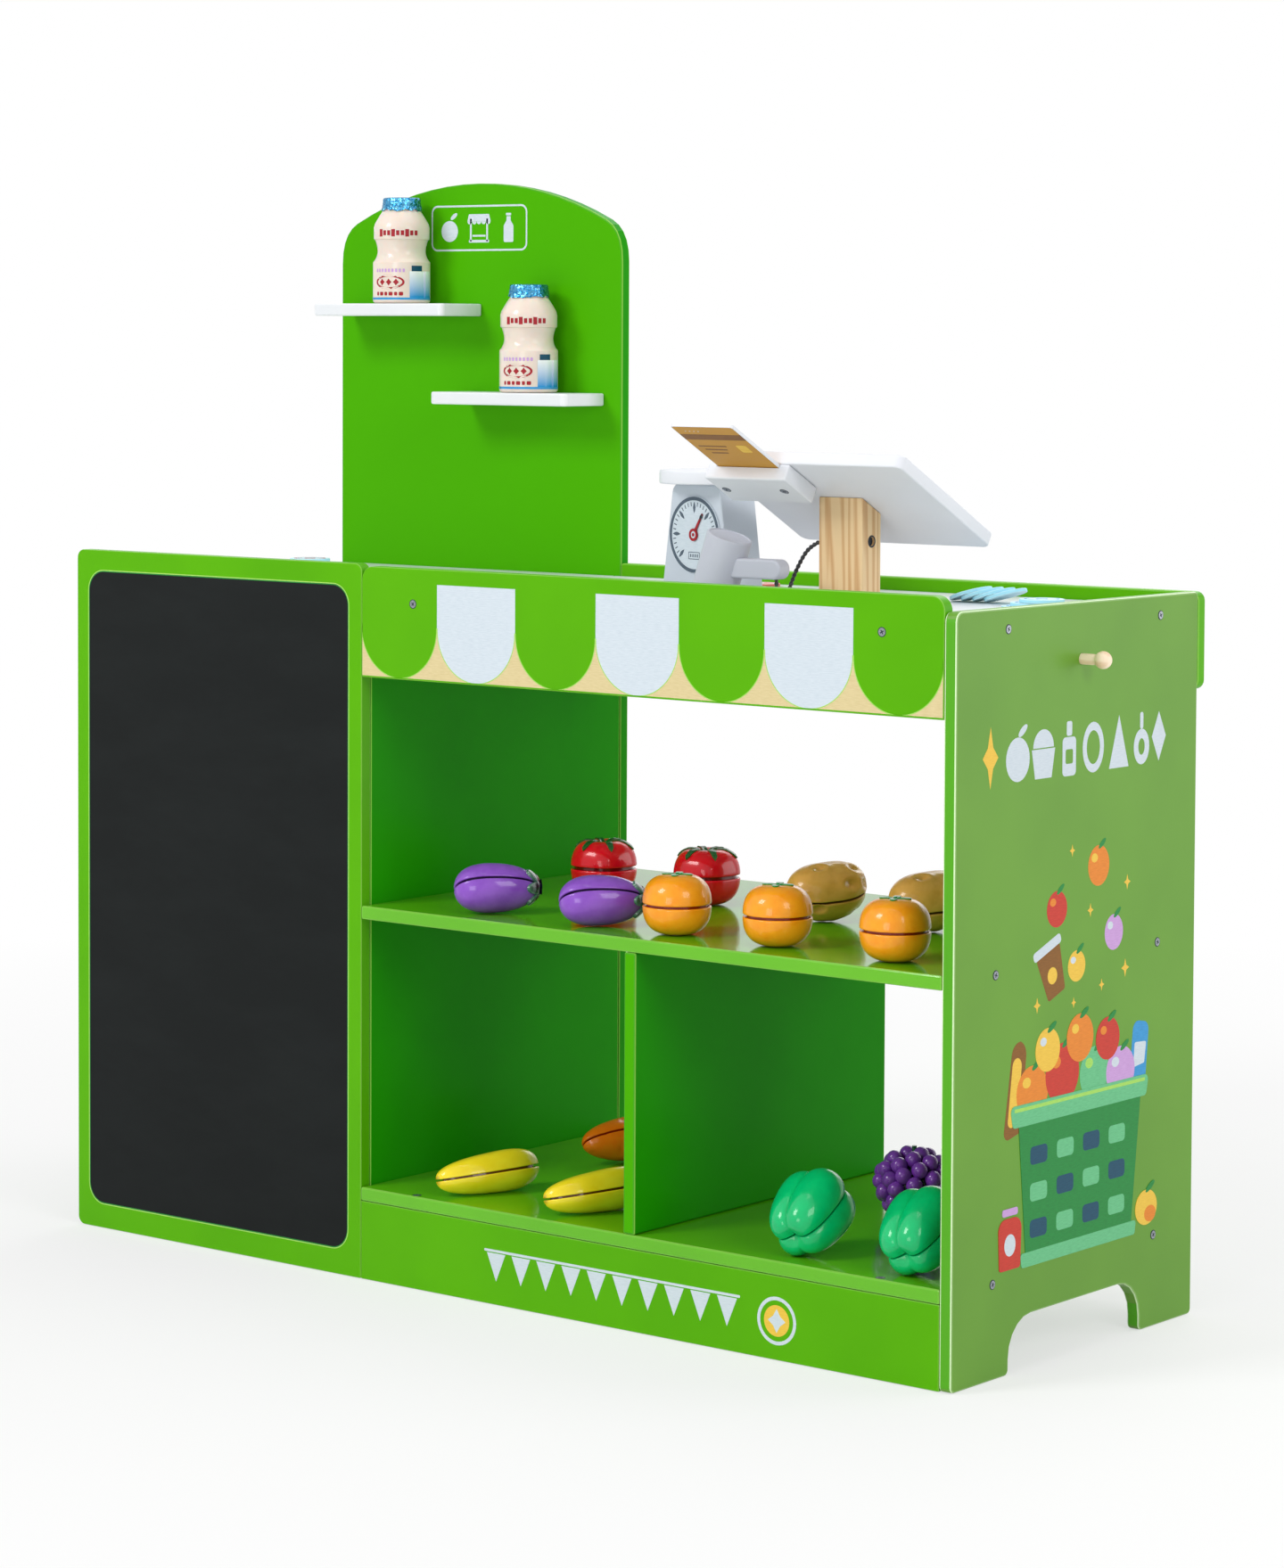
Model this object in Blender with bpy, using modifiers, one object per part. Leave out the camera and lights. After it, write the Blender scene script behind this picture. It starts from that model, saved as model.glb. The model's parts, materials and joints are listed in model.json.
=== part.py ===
"""Toy grocery store: a two-bay shop counter of painted boards, with its play register,
scale, scanner, coins, drinks and two-half play food.

Lengths are metres, +Z is up, +X is the shop's right end and the front faces -Y.
The origin lies on the floor under the middle of the overall box.
"""

import math

import bmesh
import bpy
from mathutils import Matrix, Vector

# Driving sizes of the cabinet
BOARD = 0.012
FIT = 0.0003
EDGE_ROUND = 0.0015
EDGE_STEPS = 2
SHOP_WIDTH = 1.000
CARCASS_DEPTH = 0.360
LEFT_BAY_WIDTH = 0.362
MIDDLE_DIVIDER_FROM_BAY = 0.301
PLINTH_HEIGHT = 0.070
MID_SHELF_TOP = 0.333
COUNTER_TOP = 0.610
SIDE_PANEL_RISE = 0.012
FRONT_PANEL_RISE = 0.026
VALANCE_RISE = 0.024
VALANCE_DROP = 0.098
RAIL_DROP = 0.084
PANEL_CORNER = 0.008
BAY_CORNER = 0.002
VALANCE_CORNER = 0.012
REAR_CORNER = 0.004
ARC_STEPS = 5

# Tall panel behind the left bay
TALL_PANEL_RISE = 0.375
TALL_ARCH_RISE = 0.037
TALL_SHOULDER_ROUND = 0.040
TALL_ARCH_STEPS = 16

# Chalkboard let into the front panel
CHALK_MARGIN_SIDE = 0.0165
CHALK_MARGIN_TOP = 0.020
CHALK_MARGIN_BOTTOM = 0.024
CHALK_CORNER = 0.018
CHALK_THICKNESS = 0.003
CHALK_CLEARANCE = 0.0006
CHALK_EDGE = 0.0004

# Cut-out between the feet of the side panel
FOOT_FRONT = 0.081
FOOT_BACK = 0.083
FOOT_RISE = 0.045
FOOT_CORNER = 0.032
FOOT_TOE = 0.005

# Small white shelves on the tall panel, their tops measured from the counter
WALL_SHELF_WIDTH = 0.170
WALL_SHELF_DEPTH = 0.060
WALL_SHELF_CORNER = 0.006
UPPER_SHELF_FROM_LEFT = 0.016
UPPER_SHELF_RISE = 0.258
LOWER_SHELF_FROM_BAY = 0.021
LOWER_SHELF_RISE = 0.173

# Hook peg on the side panel
PEG_SHAFT_RADIUS = 0.0046
PEG_BALL_RADIUS = 0.0074
PEG_SHAFT_LENGTH = 0.013
PEG_TENON = 0.008
PEG_FROM_PANEL_TOP = 0.047
PEG_SIDES = 16
PEG_BALL_STEPS = 6

# Rope that ties the scanner to the register's post
ROPE_DIAMETER = 0.004
ROPE_HOLE_CLEARANCE = 0.002
ROPE_POINT_SPACING = 0.010
ROPE_SMOOTHING_STEPS = 24
ROPE_EXIT_FROM_END = 0.009

# Register: post, tilted panel, card reader and card
POST_WIDTH = 0.046
POST_DEPTH = 0.027
POST_FROM_BAY = 0.401
POST_FRONT_HEIGHT = 0.0915
POST_HOLE_HEIGHT = 0.054
POST_HOLE_SIDES = 12
POST_EDGE = 0.001
REGISTER_TILT = math.radians(28)
REGISTER_WIDTH = 0.200
REGISTER_LENGTH = 0.153
REGISTER_CORNER = 0.008
READER_CHEEK = 0.010
READER_LENGTH = 0.045
READER_THICKNESS = 0.015
CARD_WIDTH = 0.066
CARD_LENGTH = 0.100
CARD_THICKNESS = 0.003
CARD_CORNER = 0.003
CARD_CORNER_STEPS = 3
CARD_EDGE = 0.0005
CARD_INSERTED = 0.026
CARD_CLEARANCE = 0.0005

# Play scale
SCALE_FROM_BAY = 0.2365
SCALE_FROM_FRONT = 0.200
SCALE_TURN = math.radians(-11.5)
SCALE_BASE_WIDTH = 0.093
SCALE_TOP_WIDTH = 0.064
SCALE_HEIGHT = 0.0975
SCALE_DEPTH = 0.040
SCALE_TOP_CORNER = 0.009
SCALE_FOOT_CORNER = 0.002
SCALE_EDGE = 0.002
DIAL_RADIUS = 0.034
DIAL_THICKNESS = 0.0015
DIAL_HEIGHT = 0.053
DIAL_SIDES = 32
PLATFORM_RADIUS = 0.0475
PLATFORM_THICKNESS = 0.012
POINTER_LENGTH = 0.022
POINTER_WIDTH = 0.003
POINTER_TIP_WIDTH = 0.0016
POINTER_THICKNESS = 0.001
POINTER_HUB_RADIUS = 0.0055
POINTER_HUB_STEPS = 12
POINTER_REST_ANGLE = math.radians(-32)

# Scanner
SCANNER_FROM_BAY = 0.298
SCANNER_FROM_FRONT = 0.120
BARREL_RADIUS = 0.020
BARREL_HEIGHT = 0.057
BARREL_LEAN = math.radians(19)
BARREL_TRIM = 0.004
BARREL_EDGE = 0.0008
BARREL_SIDES = 24
HANDLE_BOTTOM = 0.0215
HANDLE_HEIGHT = 0.017
HANDLE_DEPTH = 0.016
HANDLE_REACH = 0.079
HANDLE_END_ROUND = 0.0065
HANDLE_EDGE = 0.001

# Coins
COIN_RADIUS = 0.019
COIN_THICKNESS = 0.003
COIN_SIDES = 20
STACK_COINS = 5
STACK_SEAM = 0.0005
STACK_FROM_LEFT = 0.128
STACK_FROM_FRONT = 0.180
LEANING_COINS = 4
LEANING_STEP = 0.012
LEANING_TILT = math.radians(17)
LEANING_FROM_RIGHT = 0.162
LEANING_FROM_BACK = 0.088
LYING_COINS = 3
LYING_STEP = 0.009
LYING_FROM_RIGHT = 0.070
LYING_FROM_FRONT = 0.216
CORAL_FROM_BAY = 0.198
CORAL_FROM_BACK = 0.042

# Drink bottles
BOTTLE_HEIGHT = 0.094
BOTTLE_RADIUS = 0.0280
BOTTLE_FOOT_CHAMFER = 0.002
BOTTLE_FOOT_TOP = 0.0405
BOTTLE_WAIST_RADIUS = 0.0235
BOTTLE_BAND_RADIUS = 0.0272
BOTTLE_BAND_BOTTOM = 0.062
BOTTLE_BAND_TOP = 0.0745
BOTTLE_WAIST_STEPS = 4
BOTTLE_SIDES = 16
BOTTLE_CAP_RADIUS = 0.0195
BOTTLE_CAP_HEIGHT = 0.009
BOTTLE_CAP_LAP = 0.0008
BOTTLE_WALL_GAP = 0.002
UPPER_BOTTLE_ALONG = 0.092
LOWER_BOTTLE_ALONG = 0.101

# Play food, each piece grooved where its two halves meet: half sizes across, across
# and along the stem
GROOVE = 0.002
GROOVE_FLOOR = 0.88
FOOD_SIDES = 16
FOOD_STEPS = 4
EGGPLANT_SIZE = Vector((0.0235, 0.0235, 0.038))
TOMATO_SIZE = Vector((0.0305, 0.0305, 0.0275))
ORANGE_SIZE = Vector((0.0293, 0.0293, 0.0268))
POTATO_SIZE = Vector((0.0245, 0.028, 0.036))
BANANA_SIZE = Vector((0.021, 0.021, 0.050))
BANANA_BOW = 0.006
CARROT_SIZE = Vector((0.0195, 0.0195, 0.044))
PEPPER_SIZE = Vector((0.037, 0.037, 0.037))

# Grapes: one berry's radius, the bunch's heart, and each ring's count, radius and height
BERRY_RADIUS = 0.0118
BUNCH_HEART = 0.019
BERRY_RINGS = ((1, 0.0, 0.0215), (5, 0.0150, 0.0150), (8, 0.0240, 0.0), (6, 0.0165, -0.0130))

# Overall box and where the cabinet's corner lies in it
PEG_REACH = PEG_SHAFT_LENGTH + PEG_BALL_RADIUS * 2
LEFT = -(SHOP_WIDTH + PEG_REACH) / 2
FRONT = -(CARCASS_DEPTH + BOARD) / 2
RIGHT = LEFT + SHOP_WIDTH
BACK = FRONT + CARCASS_DEPTH
BAY_WALL = LEFT + LEFT_BAY_WIDTH
MIDDLE_DIVIDER = BAY_WALL + MIDDLE_DIVIDER_FROM_BAY
SIDE_PANEL_IN = RIGHT - BOARD
BOTTOM_SHELF_TOP = PLINTH_HEIGHT + BOARD
COUNTER_UNDER = COUNTER_TOP - BOARD
SIDE_PANEL_HEIGHT = COUNTER_TOP + SIDE_PANEL_RISE
FRONT_PANEL_HEIGHT = COUNTER_TOP + FRONT_PANEL_RISE
VALANCE_TOP = COUNTER_TOP + VALANCE_RISE
TALL_PANEL_HEIGHT = COUNTER_TOP + TALL_PANEL_RISE
TALL_SHOULDER_HEIGHT = TALL_PANEL_HEIGHT - TALL_ARCH_RISE
PEG_HEIGHT = SIDE_PANEL_HEIGHT - PEG_FROM_PANEL_TOP
UPPER_SHELF_LEFT = LEFT + UPPER_SHELF_FROM_LEFT
UPPER_SHELF_TOP = COUNTER_TOP + UPPER_SHELF_RISE
LOWER_SHELF_LEFT = BAY_WALL - LOWER_SHELF_FROM_BAY - WALL_SHELF_WIDTH
LOWER_SHELF_TOP = COUNTER_TOP + LOWER_SHELF_RISE
POST_HOLE_RADIUS = ROPE_DIAMETER / 2 + ROPE_HOLE_CLEARANCE
READER_WIDTH = CARD_WIDTH + READER_CHEEK * 2
BOTTLE_FROM_WALL = BOTTLE_RADIUS + BOTTLE_WALL_GAP

# Planes that the flat outlines are drawn in
FACING_FRONT = Matrix(((1, 0, 0, 0), (0, 0, -1, 0), (0, 1, 0, 0), (0, 0, 0, 1)))
FACING_SIDE = Matrix(((0, 0, 1, 0), (1, 0, 0, 0), (0, 1, 0, 0), (0, 0, 0, 1)))
FACING_UP = Matrix.Identity(4)


def clear_scene():
    """Remove what the opened file holds."""
    for old in list(bpy.data.objects):
        bpy.data.objects.remove(old, do_unlink=True)


def new_collection(name):
    """Make a collection linked to the scene."""
    found = bpy.data.collections.new(name)
    bpy.context.scene.collection.children.link(found)
    return found


clear_scene()
PARTS = new_collection("toy_grocery_store")
CUTTERS = new_collection("cutters")


def make_material(name, colour, roughness, metallic=0.0):
    """A plain surface in the colour of the real piece."""
    made = bpy.data.materials.new(name)
    made.use_nodes = True
    shader = made.node_tree.nodes["Principled BSDF"]
    shader.inputs["Base Color"].default_value = (*colour, 1.0)
    shader.inputs["Roughness"].default_value = roughness
    shader.inputs["Metallic"].default_value = metallic
    return made


GREEN_PAINT = make_material("green_paint", (0.13, 0.42, 0.02), 0.35)
WHITE_PAINT = make_material("white_paint", (0.84, 0.84, 0.86), 0.35)
GREY_PAINT = make_material("grey_paint", (0.48, 0.50, 0.54), 0.45)
CHALK_BLACK = make_material("chalk_black", (0.03, 0.033, 0.032), 0.8)
PINE = make_material("pine", (0.64, 0.44, 0.22), 0.55)
BEECH = make_material("beech", (0.76, 0.57, 0.38), 0.55)
OCHRE = make_material("ochre_paint", (0.58, 0.35, 0.06), 0.4)
RED_PAINT = make_material("red_paint", (0.55, 0.03, 0.04), 0.4)
BLACK_ROPE = make_material("black_rope", (0.02, 0.02, 0.022), 0.9)
PALE_BLUE = make_material("pale_blue_coin", (0.35, 0.70, 0.84), 0.35)
CORAL = make_material("coral_coin", (0.80, 0.30, 0.26), 0.4)
MILKY_PLASTIC = make_material("milky_plastic", (0.86, 0.76, 0.66), 0.3)
FOIL_BLUE = make_material("blue_foil", (0.08, 0.36, 0.62), 0.3, 0.6)
PURPLE = make_material("purple_plastic", (0.20, 0.05, 0.40), 0.2)
TOMATO_RED = make_material("tomato_plastic", (0.60, 0.01, 0.02), 0.2)
ORANGE = make_material("orange_plastic", (0.94, 0.34, 0.02), 0.25)
TAN = make_material("tan_plastic", (0.38, 0.22, 0.06), 0.3)
YELLOW = make_material("yellow_plastic", (0.82, 0.62, 0.04), 0.25)
CARROT_RED = make_material("carrot_plastic", (0.85, 0.13, 0.01), 0.25)
PEPPER_GREEN = make_material("pepper_plastic", (0.00, 0.35, 0.12), 0.2)
GRAPE = make_material("grape_plastic", (0.06, 0.01, 0.12), 0.25)


def put(name, mesh, material, matrix, collection=PARTS):
    """Add a mesh to the scene as the named object."""
    piece = bpy.data.objects.new(name, mesh)
    piece.matrix_world = matrix
    mesh.materials.clear()
    mesh.materials.append(material)
    collection.objects.link(piece)
    return piece


def at(x, y, z):
    """A place as a matrix."""
    return Matrix.Translation((x, y, z))


def round_edges(piece, width, steps=EDGE_STEPS):
    """Ease the sharp edges of a piece."""
    bevel = piece.modifiers.new("eased_edges", "BEVEL")
    bevel.width = width
    bevel.segments = steps
    bevel.limit_method = "ANGLE"
    bevel.angle_limit = math.radians(35)


def smooth(mesh, degrees=40):
    """Shade the round faces of a mesh smooth."""
    mesh.shade_smooth()
    mesh.set_sharp_from_angle(angle=math.radians(degrees))


def finish_bmesh(shape, name):
    """Turn edit geometry into a mesh."""
    mesh = bpy.data.meshes.new(name)
    shape.to_mesh(mesh)
    shape.free()
    return mesh


def board(name, low, high, material, edge=EDGE_ROUND):
    """A straight board between two corners, with eased edges."""
    low, high = Vector(low), Vector(high)
    shape = bmesh.new()
    bmesh.ops.create_cube(shape, size=1.0)
    bmesh.ops.scale(shape, vec=high - low, verts=shape.verts)
    piece = put(name, finish_bmesh(shape, name), material, at(*((low + high) / 2)))
    round_edges(piece, edge)
    return piece


def arc(centre, radius, start, end, steps):
    """Points along an arc, from one angle to another."""
    turn = (end - start) / steps
    return [
        (
            centre[0] + radius * math.cos(start + turn * i),
            centre[1] + radius * math.sin(start + turn * i),
        )
        for i in range(steps + 1)
    ]


def rounded_outline(corners, steps=ARC_STEPS):
    """Replace each (x, y, radius) corner of a closed outline by its tangent arc."""
    points = []
    count = len(corners)
    for i, (x, y, radius) in enumerate(corners):
        here = Vector((x, y))
        before = Vector(corners[i - 1][:2]) - here
        after = Vector(corners[(i + 1) % count][:2]) - here
        if radius <= 0:
            points.append((x, y))
            continue
        half = before.angle(after) / 2
        middle = (before.normalized() + after.normalized()).normalized()
        centre = here + middle * (radius / math.sin(half))
        start = here + before.normalized() * (radius / math.tan(half)) - centre
        end = here + after.normalized() * (radius / math.tan(half)) - centre
        first = math.atan2(start.y, start.x)
        sweep = (math.atan2(end.y, end.x) - first + math.pi) % math.tau - math.pi
        points += arc(centre, radius, first, first + sweep, steps)
    return points


def flat_mesh(name, outline, thickness):
    """A flat outline given its thickness, as a welded mesh."""
    curve = bpy.data.curves.new(name, "CURVE")
    curve.dimensions = "2D"
    curve.fill_mode = "BOTH"
    curve.extrude = thickness / 2
    line = curve.splines.new("POLY")
    line.points.add(len(outline) - 1)
    for point, (x, y) in zip(line.points, outline):
        point.co = (x, y, 0.0, 1.0)
    line.use_cyclic_u = True
    return mesh_from_curve(curve, name)


def mesh_from_curve(curve, name):
    """The welded mesh of a curve, which is then removed."""
    holder = bpy.data.objects.new(name + "_curve", curve)
    CUTTERS.objects.link(holder)
    seen = holder.evaluated_get(bpy.context.evaluated_depsgraph_get())
    mesh = bpy.data.meshes.new_from_object(seen)
    bpy.data.objects.remove(holder, do_unlink=True)
    bpy.data.curves.remove(curve)
    shape = bmesh.new()
    shape.from_mesh(mesh)
    bmesh.ops.remove_doubles(shape, verts=shape.verts, dist=0.00001)
    bmesh.ops.dissolve_limit(
        shape, angle_limit=math.radians(0.5), verts=shape.verts, edges=shape.edges
    )
    bmesh.ops.recalc_face_normals(shape, faces=shape.faces)
    shape.to_mesh(mesh)
    shape.free()
    mesh.name = name
    return mesh


def flat_board(name, outline, thickness, plane, middle, material, edge=EDGE_ROUND):
    """A board cut to an outline, lying in a plane through the middle of its thickness."""
    mesh = flat_mesh(name, outline, thickness)
    piece = put(name, mesh, material, at(*middle) @ plane)
    round_edges(piece, edge)
    return piece


def turned_mesh(name, profile, sides):
    """Turn a profile about Z. It runs down the outer side, from axis to axis."""
    shape = bmesh.new()
    points = [shape.verts.new((radius, 0.0, height)) for radius, height in profile]
    for a, b in zip(points, points[1:]):
        shape.edges.new((a, b))
    holder = bpy.data.objects.new(name + "_profile", finish_bmesh(shape, name))
    CUTTERS.objects.link(holder)
    screw = holder.modifiers.new("turn", "SCREW")
    screw.steps = sides
    screw.render_steps = sides
    screw.use_merge_vertices = True
    screw.merge_threshold = 0.00001
    bpy.context.view_layer.update()
    seen = holder.evaluated_get(bpy.context.evaluated_depsgraph_get())
    mesh = bpy.data.meshes.new_from_object(seen)
    bpy.data.objects.remove(holder, do_unlink=True)
    mesh.name = name
    smooth(mesh)
    return mesh


def cut(piece, cutters, name):
    """Take the cutters' volume out of a piece."""
    group = bpy.data.collections.new(piece.name + "_" + name)
    CUTTERS.children.link(group)
    for cutter in cutters:
        group.objects.link(cutter)
    boolean = piece.modifiers.new(name, "BOOLEAN")
    boolean.operation = "DIFFERENCE"
    boolean.operand_type = "COLLECTION"
    boolean.collection = group


def as_cutter(name, mesh, matrix):
    """A hidden object whose volume is taken out of others."""
    cutter = put(name, mesh, PINE, matrix, CUTTERS)
    cutter.hide_render = True
    cutter.display_type = "WIRE"
    return cutter


def cabinet_boards():
    """The painted boards of the counter, keyed by name."""
    made = {}
    shelf_right = SIDE_PANEL_IN - FIT
    shelf_left = BAY_WALL + FIT
    divider_left = BAY_WALL - BOARD
    behind_front = FRONT + BOARD + FIT

    def add(name, low, high, material=GREEN_PAINT):
        made[name] = board(name, low, high, material)

    add(
        "module_divider",
        (divider_left, behind_front, 0.0),
        (BAY_WALL, BACK - FIT, COUNTER_UNDER - FIT),
    )
    add(
        "mid_shelf",
        (shelf_left, FRONT, MID_SHELF_TOP - BOARD),
        (shelf_right, BACK, MID_SHELF_TOP),
    )
    add(
        "bottom_shelf",
        (shelf_left, FRONT, PLINTH_HEIGHT),
        (shelf_right, BACK, BOTTOM_SHELF_TOP),
    )
    add(
        "middle_divider",
        (MIDDLE_DIVIDER, FRONT, BOTTOM_SHELF_TOP + FIT),
        (MIDDLE_DIVIDER + BOARD, BACK, MID_SHELF_TOP - BOARD - FIT),
    )
    add(
        "plinth",
        (shelf_left, FRONT, 0.0),
        (shelf_right, FRONT + BOARD, PLINTH_HEIGHT - FIT),
    )
    add(
        "left_mid_shelf",
        (LEFT, behind_front, MID_SHELF_TOP - BOARD),
        (divider_left - FIT, BACK - FIT, MID_SHELF_TOP),
    )
    add(
        "left_bottom_board",
        (LEFT, behind_front, PLINTH_HEIGHT),
        (divider_left - FIT, BACK - FIT, BOTTOM_SHELF_TOP),
    )
    counter_seam = BAY_WALL - BOARD / 2
    add(
        "left_counter_top",
        (LEFT, behind_front, COUNTER_UNDER),
        (counter_seam - FIT / 2, BACK - FIT, COUNTER_TOP),
        WHITE_PAINT,
    )
    add(
        "counter_top",
        (counter_seam + FIT / 2, behind_front, COUNTER_UNDER),
        (shelf_right, BACK - FIT, COUNTER_TOP),
        WHITE_PAINT,
    )
    return made


def upright_panels():
    """The panels whose outline is more than a plain board, keyed by name."""
    made = {}
    middle_y = FRONT + BOARD / 2
    corner = PANEL_CORNER
    outline = rounded_outline([
        (LEFT, 0.0, corner),
        (BAY_WALL, 0.0, BAY_CORNER),
        (BAY_WALL, FRONT_PANEL_HEIGHT, corner),
        (LEFT, FRONT_PANEL_HEIGHT, corner),
    ])
    made["chalkboard_panel"] = flat_board(
        "chalkboard_panel", outline, BOARD, FACING_FRONT, (0, middle_y, 0), GREEN_PAINT
    )
    outline = rounded_outline([
        (BAY_WALL + FIT, VALANCE_TOP - VALANCE_DROP, 0),
        (SIDE_PANEL_IN - FIT, VALANCE_TOP - VALANCE_DROP, 0),
        (SIDE_PANEL_IN - FIT, VALANCE_TOP, VALANCE_CORNER),
        (BAY_WALL + FIT, VALANCE_TOP, VALANCE_CORNER),
    ])
    made["valance"] = flat_board(
        "valance", outline, BOARD, FACING_FRONT, (0, middle_y, 0), GREEN_PAINT
    )
    foot_front = FRONT + FOOT_FRONT
    foot_back = BACK - FOOT_BACK
    outline = rounded_outline([
        (FRONT, 0.0, FOOT_TOE),
        (foot_front, 0.0, FOOT_TOE),
        (foot_front, FOOT_RISE, FOOT_CORNER),
        (foot_back, FOOT_RISE, FOOT_CORNER),
        (foot_back, 0.0, FOOT_TOE),
        (BACK, 0.0, FOOT_TOE),
        (BACK, SIDE_PANEL_HEIGHT, REAR_CORNER),
        (FRONT, SIDE_PANEL_HEIGHT, corner),
    ])
    made["right_side_panel"] = flat_board(
        "right_side_panel",
        outline,
        BOARD,
        FACING_SIDE,
        (RIGHT - BOARD / 2, 0, 0),
        GREEN_PAINT,
    )
    back_middle = BACK + BOARD / 2
    outline = rounded_outline([
        (BAY_WALL + FIT, SIDE_PANEL_HEIGHT - RAIL_DROP, 0),
        (RIGHT, SIDE_PANEL_HEIGHT - RAIL_DROP, corner),
        (RIGHT, SIDE_PANEL_HEIGHT, corner),
        (BAY_WALL + FIT, SIDE_PANEL_HEIGHT, 0),
    ])
    made["back_rail"] = flat_board(
        "back_rail",
        outline,
        BOARD - FIT,
        FACING_FRONT,
        (0, back_middle + FIT / 2, 0),
        GREEN_PAINT,
    )
    made["tall_back_panel"] = flat_board(
        "tall_back_panel",
        tall_panel_outline(),
        BOARD - FIT,
        FACING_FRONT,
        (0, back_middle + FIT / 2, 0),
        GREEN_PAINT,
    )
    return made


def tall_panel_outline():
    """The tall panel: straight sides, rounded shoulders and one shallow arch."""
    half = LEFT_BAY_WIDTH / 2
    inner = half - TALL_SHOULDER_ROUND / 2
    rise = TALL_PANEL_HEIGHT - TALL_SHOULDER_HEIGHT
    radius = (inner * inner + rise * rise) / (2 * rise)
    span = math.asin(inner / radius)
    middle = (LEFT + half, TALL_PANEL_HEIGHT - radius)
    top = arc(middle, radius, math.pi / 2 - span, math.pi / 2 + span, TALL_ARCH_STEPS)
    shoulder = TALL_SHOULDER_ROUND
    right_edge = (BAY_WALL, TALL_SHOULDER_HEIGHT - shoulder)
    left_edge = (LEFT, TALL_SHOULDER_HEIGHT - shoulder)

    def bend(start, corner, end):
        """A quadratic curve between two edges, without its end points."""
        found = []
        for i in range(1, ARC_STEPS):
            t = i / ARC_STEPS
            a, b, c = (1 - t) ** 2, 2 * t * (1 - t), t * t
            found.append(tuple(a * s + b * k + c * e for s, k, e in zip(start, corner, end)))
        return found

    right_corner = (BAY_WALL, TALL_SHOULDER_HEIGHT - shoulder / 4)
    left_corner = (LEFT, TALL_SHOULDER_HEIGHT - shoulder / 4)
    points = [(LEFT, 0.0), (BAY_WALL, 0.0), right_edge]
    points += bend(right_edge, right_corner, top[0])
    points += top
    points += bend(top[-1], left_corner, left_edge)
    points.append(left_edge)
    return points


def chalkboard(front_panel):
    """The black board, and the recess it lies in."""
    low = (LEFT + CHALK_MARGIN_SIDE, CHALK_MARGIN_BOTTOM)
    high = (
        BAY_WALL - CHALK_MARGIN_SIDE,
        FRONT_PANEL_HEIGHT - CHALK_MARGIN_TOP,
    )

    def outline(grow):
        """The black field's outline, grown by a clearance."""
        radius = CHALK_CORNER + grow
        return rounded_outline([
            (low[0] - grow, low[1] - grow, radius),
            (high[0] + grow, low[1] - grow, radius),
            (high[0] + grow, high[1] + grow, radius),
            (low[0] - grow, high[1] + grow, radius),
        ])

    depth = CHALK_THICKNESS + FIT
    recess = flat_mesh("chalk_recess", outline(CHALK_CLEARANCE), depth * 2)
    cutter = as_cutter("chalk_recess", recess, at(0, FRONT, 0) @ FACING_FRONT)
    cut(front_panel, [cutter], "recess")
    return flat_board(
        "chalkboard",
        outline(0.0),
        CHALK_THICKNESS,
        FACING_FRONT,
        (0, FRONT + CHALK_THICKNESS / 2, 0),
        CHALK_BLACK,
        edge=CHALK_EDGE,
    )


def wall_shelf(name, x, top):
    """A small white shelf on the tall panel."""
    back = BACK - FIT / 2
    front = BACK - WALL_SHELF_DEPTH
    outline = rounded_outline([
        (x, front, WALL_SHELF_CORNER),
        (x + WALL_SHELF_WIDTH, front, WALL_SHELF_CORNER),
        (x + WALL_SHELF_WIDTH, back, 0),
        (x, back, 0),
    ])
    middle = (0, 0, top - BOARD / 2)
    return flat_board(name, outline, BOARD, FACING_UP, middle, WHITE_PAINT)


def hook_peg(side_panel):
    """The ball-ended peg, with its tenon in a hole of the side panel."""
    centre = PEG_SHAFT_LENGTH + PEG_BALL_RADIUS
    start = math.asin(PEG_SHAFT_RADIUS / PEG_BALL_RADIUS)
    ball = arc((0.0, centre), PEG_BALL_RADIUS, math.pi / 2, start - math.pi / 2, PEG_BALL_STEPS)
    profile = ball + [(PEG_SHAFT_RADIUS, -PEG_TENON), (0.0, -PEG_TENON)]
    profile[0] = (0.0, centre + PEG_BALL_RADIUS)
    outwards = Matrix.Rotation(math.radians(90), 4, "Y")
    place = at(RIGHT, FRONT + CARCASS_DEPTH / 2, PEG_HEIGHT) @ outwards
    put("hook_peg", turned_mesh("hook_peg", profile, PEG_SIDES), BEECH, place)
    bore = PEG_SHAFT_RADIUS + FIT
    deep = PEG_TENON + FIT
    hole = [(0.0, deep), (bore, deep), (bore, -deep), (0.0, -deep)]
    mesh = turned_mesh("peg_hole", hole, PEG_SIDES)
    cut(side_panel, [as_cutter("peg_hole", mesh, place)], "peg_bore")


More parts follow.
